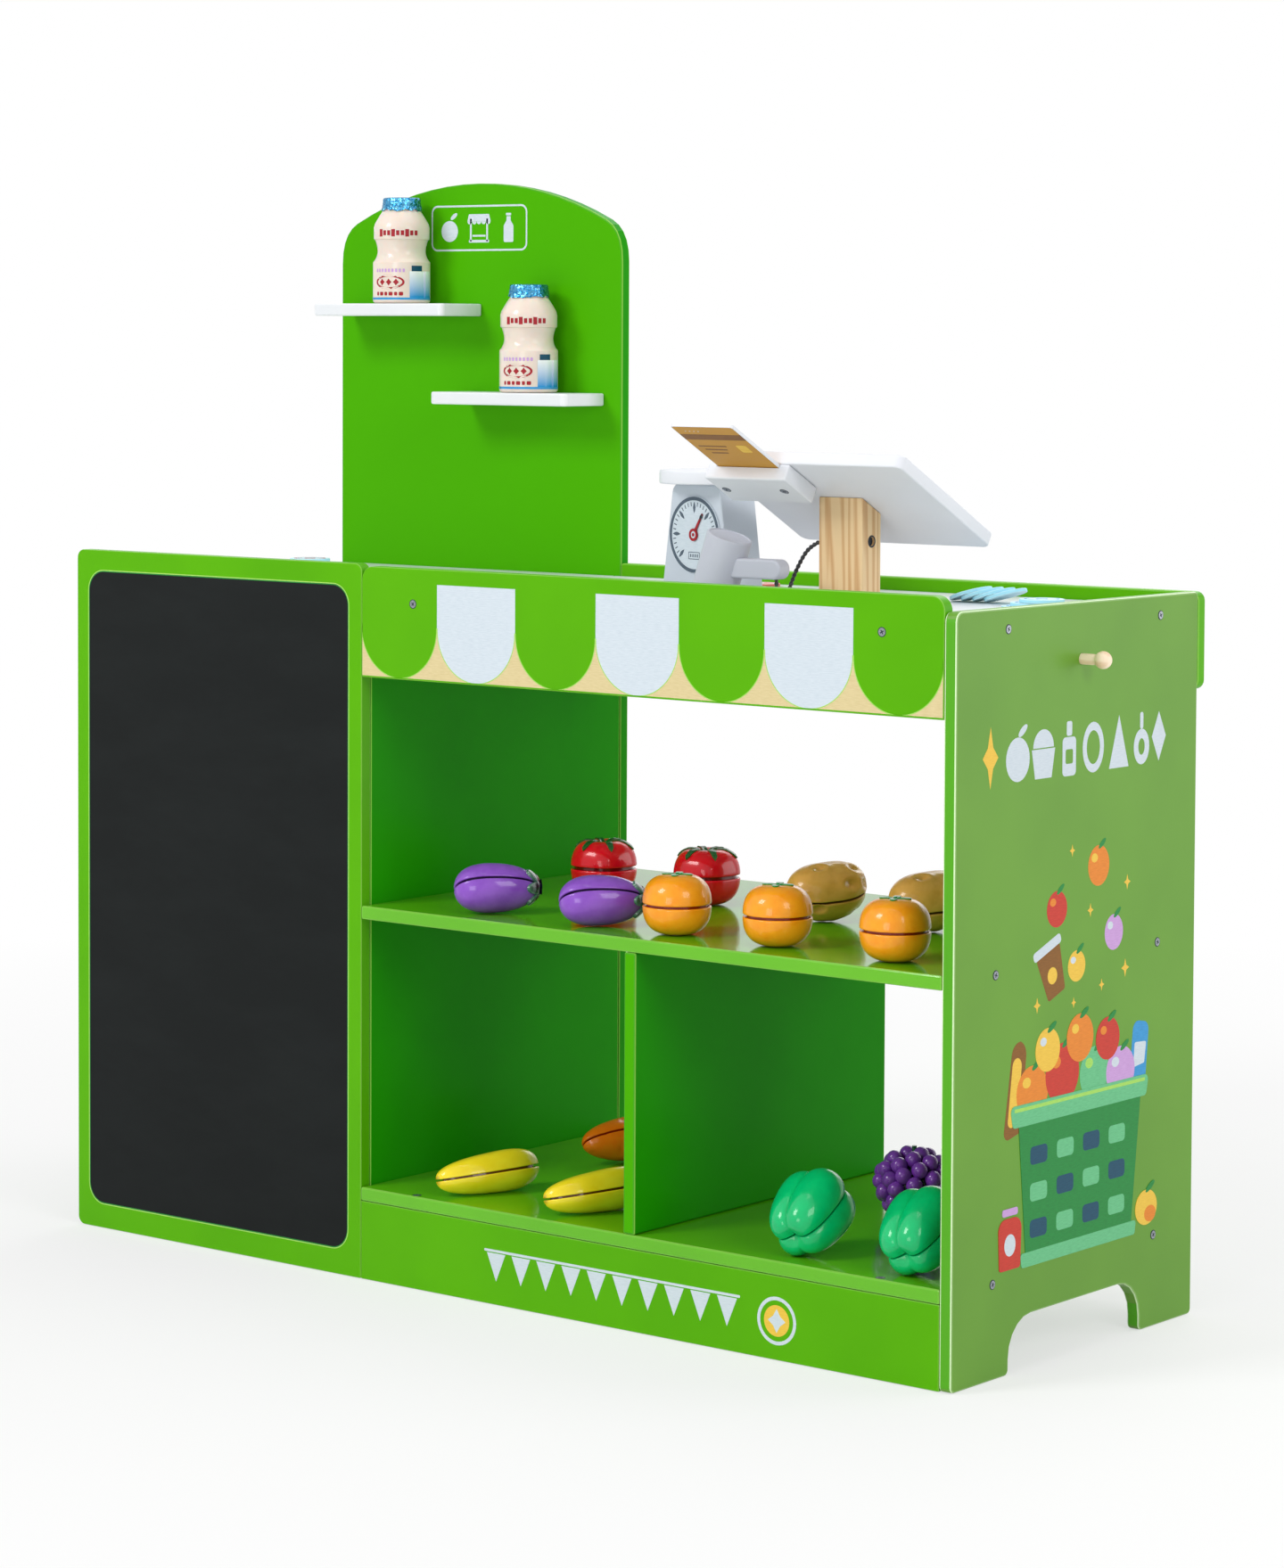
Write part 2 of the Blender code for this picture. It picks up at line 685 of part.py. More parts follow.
def register(counter_height):
    """Post, tilted panel, card reader with its slot, and the card."""
    post_x = BAY_WALL + POST_FROM_BAY
    post_front = FRONT + (CARCASS_DEPTH - POST_DEPTH) / 2
    base = counter_height + FIT
    top = counter_height + POST_FRONT_HEIGHT
    drop = POST_DEPTH * math.tan(REGISTER_TILT)
    post_back = post_front + POST_DEPTH
    outline = [
        (post_front, base),
        (post_back, base),
        (post_back, top - drop),
        (post_front, top),
    ]
    post = flat_board(
        "register_post", outline, POST_WIDTH, FACING_SIDE, (post_x, 0, 0), PINE, POST_EDGE
    )
    bore = [(0.0, POST_WIDTH), (POST_HOLE_RADIUS, POST_WIDTH)]
    bore += [(POST_HOLE_RADIUS, -POST_WIDTH), (0.0, -POST_WIDTH)]
    sideways = Matrix.Rotation(math.radians(90), 4, "Y")
    hole_place = at(post_x, (post_front + post_back) / 2, counter_height + POST_HOLE_HEIGHT)
    mesh = turned_mesh("tether_hole", bore, POST_HOLE_SIDES)
    cut(post, [as_cutter("tether_hole", mesh, hole_place @ sideways)], "bore")

    slope = Matrix.Rotation(-REGISTER_TILT, 4, "X")
    post_middle = (post_front + post_back) / 2
    under = at(post_x, post_middle, top - drop / 2 + FIT / math.cos(REGISTER_TILT)) @ slope
    half_width = REGISTER_WIDTH / 2
    half_length = REGISTER_LENGTH / 2
    outline = rounded_outline([
        (-half_width, -half_length, REGISTER_CORNER),
        (half_width, -half_length, REGISTER_CORNER),
        (half_width, half_length, REGISTER_CORNER),
        (-half_width, half_length, REGISTER_CORNER),
    ])
    mesh = flat_mesh("register_panel", outline, BOARD)
    panel = put("register_panel", mesh, WHITE_PAINT, under @ at(0, 0, BOARD / 2))
    round_edges(panel, EDGE_ROUND)

    reader_middle = Vector((-half_width + READER_WIDTH / 2, -half_length + READER_LENGTH / 2, 0))
    reader_top = -FIT
    reader_low = reader_top - READER_THICKNESS
    block = bmesh.new()
    bmesh.ops.create_cube(block, size=1.0)
    bmesh.ops.scale(
        block, vec=(READER_WIDTH, READER_LENGTH, READER_THICKNESS), verts=block.verts
    )
    block_place = under @ at(*reader_middle) @ at(0, 0, (reader_top + reader_low) / 2)
    reader = put("card_reader", finish_bmesh(block, "card_reader"), WHITE_PAINT, block_place)
    round_edges(reader, EDGE_ROUND)
    slot_depth = CARD_THICKNESS + CARD_CLEARANCE * 2
    slot = bmesh.new()
    bmesh.ops.create_cube(slot, size=1.0)
    slot_length = CARD_INSERTED + CARD_CLEARANCE
    slot_size = (CARD_WIDTH + CARD_CLEARANCE * 2, slot_length * 2, slot_depth * 2)
    bmesh.ops.scale(slot, vec=slot_size, verts=slot.verts)
    mouth = at(reader_middle.x, -half_length, 0)
    slot_place = under @ mouth @ at(0, 0, reader_top)
    cut(reader, [as_cutter("card_slot", finish_bmesh(slot, "card_slot"), slot_place)], "slot")

    half_card = CARD_WIDTH / 2
    outline = rounded_outline([
        (-half_card, CARD_INSERTED - CARD_LENGTH, CARD_CORNER),
        (half_card, CARD_INSERTED - CARD_LENGTH, CARD_CORNER),
        (half_card, CARD_INSERTED, CARD_CORNER),
        (-half_card, CARD_INSERTED, CARD_CORNER),
    ], CARD_CORNER_STEPS)
    mesh = flat_mesh("bank_card", outline, CARD_THICKNESS)
    card_height = reader_top - CARD_CLEARANCE - CARD_THICKNESS / 2
    card = put("bank_card", mesh, OCHRE, under @ mouth @ at(0, 0, card_height))
    round_edges(card, CARD_EDGE, 1)
    return hole_place


def play_scale(counter_height):
    """Scale body, platform, dial plate and the pointer that turns on it."""
    centre = (BAY_WALL + SCALE_FROM_BAY, FRONT + SCALE_FROM_FRONT, counter_height + FIT)
    place = at(*centre) @ Matrix.Rotation(SCALE_TURN, 4, "Z")
    outline = rounded_outline([
        (-SCALE_BASE_WIDTH / 2, 0.0, SCALE_FOOT_CORNER),
        (SCALE_BASE_WIDTH / 2, 0.0, SCALE_FOOT_CORNER),
        (SCALE_TOP_WIDTH / 2, SCALE_HEIGHT, SCALE_TOP_CORNER),
        (-SCALE_TOP_WIDTH / 2, SCALE_HEIGHT, SCALE_TOP_CORNER),
    ])
    mesh = flat_mesh("scale_body", outline, SCALE_DEPTH)
    body = put("scale_body", mesh, GREY_PAINT, place @ FACING_FRONT)
    round_edges(body, SCALE_EDGE)
    top = SCALE_HEIGHT + FIT
    disc = [(0.0, PLATFORM_THICKNESS), (PLATFORM_RADIUS, PLATFORM_THICKNESS)]
    disc += [(PLATFORM_RADIUS, 0.0), (0.0, 0.0)]
    mesh = turned_mesh("scale_platform", disc, DIAL_SIDES)
    platform = put("scale_platform", mesh, WHITE_PAINT, place @ at(0, 0, top))
    round_edges(platform, EDGE_ROUND, 1)
    face = place @ at(0, -SCALE_DEPTH / 2, DIAL_HEIGHT) @ FACING_FRONT
    plate = [(0.0, DIAL_THICKNESS), (DIAL_RADIUS, DIAL_THICKNESS), (DIAL_RADIUS, 0.0), (0.0, 0.0)]
    mesh = turned_mesh("scale_dial", plate, DIAL_SIDES)
    put("scale_dial", mesh, WHITE_PAINT, face @ at(0, 0, FIT))
    pointer_place = face @ at(0, 0, FIT * 2 + DIAL_THICKNESS + POINTER_THICKNESS / 2)
    gap_angle = math.asin(POINTER_WIDTH / 2 / POINTER_HUB_RADIUS)
    hub = arc(
        (0, 0),
        POINTER_HUB_RADIUS,
        math.pi / 2 + gap_angle,
        math.pi / 2 + math.tau - gap_angle,
        POINTER_HUB_STEPS,
    )
    half_tip = POINTER_TIP_WIDTH / 2
    outline = hub + [(half_tip, POINTER_LENGTH), (-half_tip, POINTER_LENGTH)]
    mesh = flat_mesh("scale_pointer", outline, POINTER_THICKNESS)
    turn = Matrix.Rotation(POINTER_REST_ANGLE, 4, "Z")
    put("scale_pointer", mesh, RED_PAINT, pointer_place @ turn)


def scanner(counter_height):
    """Scanner barrel and handle, standing on the counter."""
    foot = at(BAY_WALL + SCANNER_FROM_BAY, FRONT + SCANNER_FROM_FRONT, counter_height + FIT)
    lean = Matrix.Rotation(BARREL_LEAN, 4, "Y")
    length = BARREL_HEIGHT / math.cos(BARREL_LEAN)
    below = BARREL_RADIUS * math.tan(BARREL_LEAN) + BARREL_TRIM
    tube = [(0.0, length), (BARREL_RADIUS, length), (BARREL_RADIUS, -below), (0.0, -below)]
    mesh = turned_mesh("scanner_barrel", tube, BARREL_SIDES)
    mesh.transform(lean)
    level = bmesh.new()
    level.from_mesh(mesh)
    found = bmesh.ops.bisect_plane(
        level,
        geom=level.verts[:] + level.edges[:] + level.faces[:],
        plane_co=(0, 0, 0),
        plane_no=(0, 0, 1),
        clear_inner=True,
    )
    rim = [edge for edge in found["geom_cut"] if isinstance(edge, bmesh.types.BMEdge)]
    bmesh.ops.contextual_create(level, geom=rim)
    bmesh.ops.recalc_face_normals(level, faces=level.faces)
    level.to_mesh(mesh)
    level.free()
    barrel = put("scanner_barrel", mesh, GREY_PAINT, foot)
    round_edges(barrel, BARREL_EDGE, 1)

    middle_height = HANDLE_BOTTOM + HANDLE_HEIGHT / 2
    start = math.tan(BARREL_LEAN) * middle_height
    outline = rounded_outline([
        (start, HANDLE_BOTTOM, 0),
        (HANDLE_REACH, HANDLE_BOTTOM, HANDLE_END_ROUND),
        (HANDLE_REACH, HANDLE_BOTTOM + HANDLE_HEIGHT, HANDLE_END_ROUND),
        (start, HANDLE_BOTTOM + HANDLE_HEIGHT, 0),
    ])
    mesh = flat_mesh("scanner_handle", outline, HANDLE_DEPTH)
    handle = put("scanner_handle", mesh, GREY_PAINT, foot @ FACING_FRONT)
    round_edges(handle, HANDLE_EDGE)
    bore = BARREL_RADIUS + FIT
    around = [(0.0, length * 2), (bore, length * 2), (bore, -length), (0.0, -length)]
    mesh = turned_mesh("barrel_seat", around, BARREL_SIDES)
    cut(handle, [as_cutter("barrel_seat", mesh, foot @ lean)], "seat")
    return foot


def smooth_route(points, spacing):
    """Points at an even spacing along a smooth curve through the given ones."""
    dense = []
    ends = [points[0] * 2 - points[1]] + points + [points[-1] * 2 - points[-2]]
    for a, b, c, d in zip(ends, ends[1:], ends[2:], ends[3:]):
        for step in range(ROPE_SMOOTHING_STEPS):
            t = step / ROPE_SMOOTHING_STEPS
            dense.append(
                (b * 2 + (c - a) * t + (a * 2 - b * 5 + c * 4 - d) * t * t
                 + (b * 3 - a - c * 3 + d) * t ** 3) / 2
            )
    dense.append(points[-1])
    lengths = [0.0]
    for a, b in zip(dense, dense[1:]):
        lengths.append(lengths[-1] + (b - a).length)
    count = round(lengths[-1] / spacing)
    found = []
    index = 0
    for step in range(count + 1):
        wanted = lengths[-1] * step / count
        while index < len(lengths) - 2 and lengths[index + 1] < wanted:
            index += 1
        share = (wanted - lengths[index]) / (lengths[index + 1] - lengths[index])
        found.append(dense[index].lerp(dense[index + 1], share))
    return found


def tether(foot, hole_place, counter_height):
    """The rope from under the scanner's handle, in a loop on the counter, to the post."""
    hole = hole_place.translation
    lying = counter_height + FIT + ROPE_DIAMETER / 2
    left_face = hole.x - POST_WIDTH / 2
    start = foot @ Vector((HANDLE_REACH - ROPE_EXIT_FROM_END, 0, HANDLE_BOTTOM - FIT))
    post_face = Vector((left_face, hole.y, hole.z))
    route = [
        start,
        start + Vector((0, 0, -0.005)),
        Vector((start.x - 0.0025, start.y - 0.001, lying + 0.0075)),
        Vector((start.x - 0.010, start.y - 0.005, lying + 0.0015)),
        Vector((start.x - 0.022, start.y - 0.014, lying)),
        Vector((start.x - 0.030, start.y - 0.032, lying)),
        Vector((start.x - 0.025, start.y - 0.052, lying)),
        Vector((start.x - 0.004, start.y - 0.062, lying)),
        Vector((start.x + 0.018, start.y - 0.054, lying)),
        Vector((start.x + 0.028, start.y - 0.034, lying)),
        Vector((start.x + 0.022, start.y - 0.010, lying)),
        Vector((start.x + 0.006, start.y + 0.012, lying)),
        Vector((start.x - 0.010, start.y + 0.030, lying + 0.0015)),
        Vector((start.x - 0.020, start.y + 0.046, lying + 0.010)),
        Vector((start.x - 0.020, start.y + 0.056, lying + 0.026)),
        Vector((start.x - 0.012, hole.y, hole.z - 0.010)),
        post_face + Vector((-0.008, 0, -0.0015)),
        post_face,
        post_face + Vector((0.012, 0, 0)),
        post_face + Vector((POST_WIDTH - 0.010, 0, 0)),
    ]
    points = smooth_route(route, ROPE_POINT_SPACING)
    curve = bpy.data.curves.new("tether_rope", "CURVE")
    curve.dimensions = "3D"
    curve.bevel_depth = ROPE_DIAMETER / 2
    curve.bevel_resolution = 1
    curve.use_fill_caps = True
    line = curve.splines.new("POLY")
    line.points.add(len(points) - 1)
    for target, point in zip(line.points, points):
        target.co = (*point, 1.0)
    rope = bpy.data.objects.new("tether_rope", curve)
    curve.materials.append(BLACK_ROPE)
    PARTS.objects.link(rope)


def coin_mesh(name):
    """A flat round coin, its underside at zero."""
    top = COIN_THICKNESS
    profile = [(0.0, top), (COIN_RADIUS, top), (COIN_RADIUS, 0.0), (0.0, 0.0)]
    return turned_mesh(name, profile, COIN_SIDES)


def coins(counter_height):
    """A stack at the left, leaning and lying coins at the right, and a coral one."""
    base = counter_height + FIT
    rim = COIN_RADIUS
    waist = COIN_RADIUS - STACK_SEAM * 2
    profile = [(0.0, COIN_THICKNESS * STACK_COINS)]
    for i in range(STACK_COINS, 0, -1):
        upper = COIN_THICKNESS * i - STACK_SEAM
        lower = COIN_THICKNESS * (i - 1) + STACK_SEAM
        profile += [(waist, COIN_THICKNESS * i), (rim, upper), (rim, lower)]
    profile += [(waist, 0.0), (0.0, 0.0)]
    mesh = turned_mesh("coin_stack", profile, COIN_SIDES)
    put("coin_stack", mesh, PALE_BLUE, at(LEFT + STACK_FROM_LEFT, FRONT + STACK_FROM_FRONT, base))
    tilt = Matrix.Rotation(-LEANING_TILT, 4, "Y")
    lift = COIN_RADIUS * math.sin(LEANING_TILT)
    for i in range(LEANING_COINS):
        name = f"leaning_coin_{i + 1}"
        x = SIDE_PANEL_IN - LEANING_FROM_RIGHT + LEANING_STEP * i
        place = at(x, BACK - LEANING_FROM_BACK, base + lift)
        put(name, coin_mesh(name), PALE_BLUE, place @ tilt)
    for i in range(LYING_COINS):
        name = f"lying_coin_{i + 1}"
        x = SIDE_PANEL_IN - LYING_FROM_RIGHT + LYING_STEP * i
        place = at(x, FRONT + LYING_FROM_FRONT, base + (COIN_THICKNESS + FIT) * i)
        put(name, coin_mesh(name), PALE_BLUE, place)
    place = at(BAY_WALL + CORAL_FROM_BAY, BACK - CORAL_FROM_BACK, base)
    put("coral_coin", coin_mesh("coral_coin"), CORAL, place)


def bottle(name, x, shelf_top):
    """A waisted drink bottle and its foil cap."""
    place = at(x, BACK - BOTTLE_FROM_WALL, shelf_top + FIT)
    band = BOTTLE_BAND_RADIUS
    neck = BOTTLE_CAP_RADIUS - BOTTLE_CAP_LAP
    profile = [(0.0, BOTTLE_HEIGHT), (neck, BOTTLE_HEIGHT), (band, BOTTLE_BAND_TOP)]
    for i in range(BOTTLE_WAIST_STEPS + 1):
        along = i / BOTTLE_WAIST_STEPS
        plain = band + (BOTTLE_RADIUS - band) * along
        dip = (plain - BOTTLE_WAIST_RADIUS) * math.sin(math.pi * along)
        height = BOTTLE_BAND_BOTTOM + (BOTTLE_FOOT_TOP - BOTTLE_BAND_BOTTOM) * along
        profile.append((plain - dip, height))
    foot = BOTTLE_RADIUS - BOTTLE_FOOT_CHAMFER
    profile += [(BOTTLE_RADIUS, BOTTLE_FOOT_CHAMFER), (foot, 0.0), (0.0, 0.0)]
    put(name, turned_mesh(name, profile, BOTTLE_SIDES), MILKY_PLASTIC, place)
    cap_foot = BOTTLE_CAP_HEIGHT - BOTTLE_CAP_LAP
    cap = [(0.0, BOTTLE_CAP_HEIGHT), (neck, BOTTLE_CAP_HEIGHT), (BOTTLE_CAP_RADIUS, cap_foot)]
    cap += [(BOTTLE_CAP_RADIUS, 0.0), (0.0, 0.0)]
    mesh = turned_mesh(name + "_cap", cap, BOTTLE_SIDES)
    put(name + "_cap", mesh, FOIL_BLUE, place @ at(0, 0, BOTTLE_HEIGHT + FIT))


def lobed(co, size, lobes=1, depth=0.0, taper=0.0, dimple=0.0):
    """A point of a unit ball pushed to a fruit's surface. The stem axis is Z."""
    angle = math.atan2(co.y, co.x)
    flat = math.hypot(co.x, co.y)
    swell = 1.0 - depth * flat * (0.5 - 0.5 * math.cos(lobes * angle))
    narrow = 1.0 - taper * (co.z + 1.0) / 2.0
    sink = dimple * (1.0 - flat) ** 2
    height = co.z - math.copysign(sink, co.z)
    return Vector((co.x * size.x * swell * narrow, co.y * size.y * swell * narrow, height * size.z))


def eggplant_form(co):
    """A plump end that narrows to the stem."""
    return lobed(co, EGGPLANT_SIZE, taper=0.34)


def tomato_form(co):
    """A flattened ball with soft ribs and a dimple."""
    return lobed(co, TOMATO_SIZE, lobes=4, depth=0.05, dimple=0.10)


def orange_form(co):
    """A slightly flattened ball."""
    return lobed(co, ORANGE_SIZE, dimple=0.05)


def potato_form(co):
    """An uneven oval."""
    swell = 1.0 + 0.05 * math.sin(3.0 * co.z + 2.0 * co.x)
    size = POTATO_SIZE
    return Vector((co.x * size.x * swell, co.y * size.y * swell, co.z * size.z))


def banana_form(co):
    """A long pod, pointed at one end and gently bent."""
    narrow = 1.0 - 0.28 * co.z
    bow = BANANA_BOW * (1.0 - co.z * co.z)
    size = BANANA_SIZE
    return Vector((co.x * size.x * narrow, co.y * size.y * narrow + bow, co.z * size.z))


def carrot_form(co):
    """A thick root that narrows to its tip."""
    narrow = 1.0 + 0.30 * co.z
    size = CARROT_SIZE
    return Vector((co.x * size.x * narrow, co.y * size.y * narrow, co.z * size.z))


def pepper_form(co):
    """Four deep lobes, wider at the stem end."""
    return lobed(co, PEPPER_SIZE, lobes=4, depth=0.24, taper=0.18, dimple=0.25)


def grooved_ball(normal, groove):
    """A unit ball with a groove round it, square to the normal."""
    edge = math.asin(groove)
    top = arc((0.0, 0.0), 1.0, math.pi / 2, edge, FOOD_STEPS)
    top[0] = (0.0, 1.0)
    upper = top + [(GROOVE_FLOOR, groove)]
    profile = upper + [(radius, -height) for radius, height in reversed(upper)]
    mesh = turned_mesh("ball", profile, FOOD_SIDES)
    mesh.transform(normal.to_track_quat("Z", "Y").to_matrix().to_4x4())
    return mesh


def split_fruit(name, form, normal):
    """A fruit whose two halves show by the groove between them."""
    normal = Vector(normal)
    mesh = grooved_ball(normal, GROOVE / 2 / form(normal).length)
    for vert in mesh.vertices:
        vert.co = form(vert.co.copy())
    mesh.name = name
    return mesh


def settle(name, mesh, material, bay, place, turn):
    """Turn a loose piece as it lies, and rest it at its place, a share of the bay each way."""
    bay_left, bay_right, shelf_top = bay
    x = bay_left + (bay_right - bay_left) * place[0]
    y = FRONT + CARCASS_DEPTH * place[1]
    mesh.transform(turn)
    smooth(mesh)
    lowest = min(vert.co.z for vert in mesh.vertices)
    put(name, mesh, material, at(x, y, shelf_top + FIT - lowest))


def lying(heading, roll=0.0, pitch=0.0):
    """Lay the stem axis level along a heading, rolled about itself first."""
    over = Matrix.Rotation(math.radians(90 - pitch), 4, "Y")
    spin = Matrix.Rotation(math.radians(roll), 4, "Z")
    return Matrix.Rotation(math.radians(heading), 4, "Z") @ over @ spin


def grape_cluster():
    """A bunch: a ball whose surface is pushed out to the outermost of its berries."""
    berries = []
    for ring, (count, radius, height) in enumerate(BERRY_RINGS):
        for i in range(count):
            angle = math.tau * (i + ring * 0.5) / count
            berries.append(Vector((radius * math.cos(angle), radius * math.sin(angle), height)))
    shape = bmesh.new()
    bmesh.ops.create_icosphere(shape, subdivisions=4, radius=1.0)
    for vert in shape.verts:
        ray = vert.co.normalized()
        reach = BUNCH_HEART
        for berry in berries:
            along = ray.dot(berry)
            apart = berry.length_squared - along * along
            if apart < BERRY_RADIUS ** 2:
                reach = max(reach, along + math.sqrt(BERRY_RADIUS ** 2 - apart))
        vert.co = ray * reach
    return finish_bmesh(shape, "grapes")


def play_food():
    """Every piece of food where it lies on its shelf."""
    upper = (BAY_WALL, SIDE_PANEL_IN, MID_SHELF_TOP)
    lower_left = (BAY_WALL, MIDDLE_DIVIDER, BOTTOM_SHELF_TOP)
    lower_right = (MIDDLE_DIVIDER + BOARD, SIDE_PANEL_IN, BOTTOM_SHELF_TOP)
    across = (1, 0, 0)
    level = (0, 0, 1)
    standing = Matrix.Rotation(math.radians(25), 4, "Z")
    eggplant = (eggplant_form, across, PURPLE, upper, lying(48, 24))
    tomato = (tomato_form, level, TOMATO_RED, upper, standing)
    orange = (orange_form, level, ORANGE, upper, standing)
    potato = (potato_form, across, TAN, upper, lying(60, 8))
    banana = (banana_form, across, YELLOW, lower_left, lying(248, -10))
    carrot = (carrot_form, across, CARROT_RED, lower_left, lying(70, 20))
    pepper = (pepper_form, across, PEPPER_GREEN, lower_right, lying(65, 45, 35))
    pieces = [
        ("eggplant_left", eggplant, (0.195, 0.117)),
        ("eggplant_right", eggplant, (0.388, 0.114)),
        ("tomato_left", tomato, (0.187, 0.542)),
        ("tomato_right", tomato, (0.361, 0.575)),
        ("orange_left", orange, (0.514, 0.125)),
        ("orange_middle", orange, (0.682, 0.131)),
        ("orange_right", orange, (0.879, 0.117)),
        ("potato_left", potato, (0.593, 0.528)),
        ("potato_right", potato, (0.760, 0.544)),
        ("banana_left", banana, (0.326, 0.156)),
        ("banana_right", banana, (0.738, 0.156)),
        ("carrot", carrot, (0.359, 0.661)),
        ("pepper_left", pepper, (0.495, 0.114)),
        ("pepper_right", pepper, (0.850, 0.114)),
    ]
    for name, (form, normal, material, bay, turn), place in pieces:
        settle(name, split_fruit(name, form, normal), material, bay, place, turn)
    settle("grapes", grape_cluster(), GRAPE, lower_right, (0.486, 0.533), standing)


def build():
    """Make the whole shop."""
    boards = cabinet_boards()
    boards.update(upright_panels())
    boards["chalkboard"] = chalkboard(boards["chalkboard_panel"])
    boards["wall_shelf_upper"] = wall_shelf("wall_shelf_upper", UPPER_SHELF_LEFT, UPPER_SHELF_TOP)
    boards["wall_shelf_lower"] = wall_shelf("wall_shelf_lower", LOWER_SHELF_LEFT, LOWER_SHELF_TOP)
    hook_peg(boards["right_side_panel"])
    hole_place = register(COUNTER_TOP)
    play_scale(COUNTER_TOP)
    foot = scanner(COUNTER_TOP)
    tether(foot, hole_place, COUNTER_TOP)
    coins(COUNTER_TOP)
    bottle("bottle_upper", UPPER_SHELF_LEFT + UPPER_BOTTLE_ALONG, UPPER_SHELF_TOP)
    bottle("bottle_lower", LOWER_SHELF_LEFT + LOWER_BOTTLE_ALONG, LOWER_SHELF_TOP)
    play_food()


build()
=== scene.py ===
"""Looks of the toy grocery store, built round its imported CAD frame.

Lengths are metres in the row frame: the origin lies on the floor under the middle of the
overall box, +Z is up, the shop's front faces -Y and its printed side panel faces +X.
"""

from __future__ import annotations

import json
import logging
import math
import random
from collections.abc import Callable, Iterable, Sequence
from dataclasses import dataclass, field
from enum import Enum
from functools import partial

import bmesh
import bpy
from mathutils import Matrix, Vector, noise

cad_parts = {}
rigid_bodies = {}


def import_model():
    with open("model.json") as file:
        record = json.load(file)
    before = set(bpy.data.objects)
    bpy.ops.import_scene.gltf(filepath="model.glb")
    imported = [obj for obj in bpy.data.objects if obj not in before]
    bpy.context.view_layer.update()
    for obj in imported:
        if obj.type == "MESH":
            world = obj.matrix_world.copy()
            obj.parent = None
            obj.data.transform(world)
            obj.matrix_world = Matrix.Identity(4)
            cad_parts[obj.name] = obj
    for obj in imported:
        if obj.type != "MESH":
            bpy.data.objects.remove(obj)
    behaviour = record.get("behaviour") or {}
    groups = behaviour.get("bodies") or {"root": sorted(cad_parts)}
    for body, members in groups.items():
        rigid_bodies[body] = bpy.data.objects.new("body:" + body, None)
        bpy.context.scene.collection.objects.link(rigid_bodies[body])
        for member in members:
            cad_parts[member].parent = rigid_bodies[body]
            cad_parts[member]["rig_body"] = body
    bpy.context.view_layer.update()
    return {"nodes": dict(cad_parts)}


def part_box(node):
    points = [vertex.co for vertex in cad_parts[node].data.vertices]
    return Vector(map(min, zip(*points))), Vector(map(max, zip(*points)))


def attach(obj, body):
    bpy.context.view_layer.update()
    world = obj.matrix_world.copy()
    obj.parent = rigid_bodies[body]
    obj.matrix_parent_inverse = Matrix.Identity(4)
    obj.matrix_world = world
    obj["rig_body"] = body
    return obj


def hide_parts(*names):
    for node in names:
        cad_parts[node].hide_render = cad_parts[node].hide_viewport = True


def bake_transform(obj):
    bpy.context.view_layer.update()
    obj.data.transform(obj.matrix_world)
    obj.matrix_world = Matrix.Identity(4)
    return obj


for leftover in list(bpy.data.objects):
    bpy.data.objects.remove(leftover, do_unlink=True)
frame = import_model()

logging.basicConfig(level=logging.INFO, format="%(message)s")
LOG = logging.getLogger("toy_grocery_store")

Tree = bpy.types.NodeTree
Node = bpy.types.Node
Socket = bpy.types.NodeSocket
Mesh = bpy.types.Mesh
Point = tuple[float, float]
Place = tuple[float, float, float]
Outline = Sequence[Point]
Form = Callable[[Vector], Vector]

# The cabinet's planes, as the CAD part has them
LEFT = -0.5139
RIGHT = 0.4861
FRONT = -0.186
BACK = 0.174
BAY_WALL = -0.1519
SIDE_PANEL_IN = 0.4741
COUNTER_TOP = 0.610
BOARD = 0.012
FIT = 0.0003
INK = 0.0002
SUNK = 0.0001  # how deep a print's underside lies in the surface under it
WELD = 0.000001  # points nearer than this become one
FLAT = math.radians(0.2)  # faces that meet flatter than this become one
FILM = 0.00006  # how thick a bottle's label is
LIFT = 0.00003  # how far it stands off the bottle
GOLDEN_ANGLE = 2.399963
CABINET = "cabinet"

# Planes that flat outlines are drawn in
FACING_FRONT = Matrix(((1, 0, 0, 0), (0, 0, -1, 0), (0, 1, 0, 0), (0, 0, 0, 1)))
FACING_BACK = Matrix(((-1, 0, 0, 0), (0, 0, 1, 0), (0, 1, 0, 0), (0, 0, 0, 1)))
FACING_SIDE = Matrix(((0, 0, 1, 0), (1, 0, 0, 0), (0, 1, 0, 0), (0, 0, 0, 1)))


def at(x: float, y: float, z: float) -> Matrix:
    """A place as a matrix."""
    return Matrix.Translation((x, y, z))


def turned(degrees: float, axis: str) -> Matrix:
    """A turn about one axis as a matrix."""
    return Matrix.Rotation(math.radians(degrees), 4, axis)


def linear(colour: str) -> tuple[float, float, float, float]:
    """Turn an sRGB "#RRGGBB" value into the linear colour that the shader takes."""
    values = [int(colour[i : i + 2], 16) / 255 for i in (1, 3, 5)]
    return (*(v / 12.92 if v <= 0.04045 else ((v + 0.055) / 1.055) ** 2.4 for v in values), 1.0)


def per(millimetres: float) -> float:
    """The texture scale that gives features of a real size in millimetres."""
    return 1000.0 / millimetres


def show(thing: bpy.types.Object) -> None:
    """Put an object into the scene."""
    bpy.context.scene.collection.objects.link(thing)


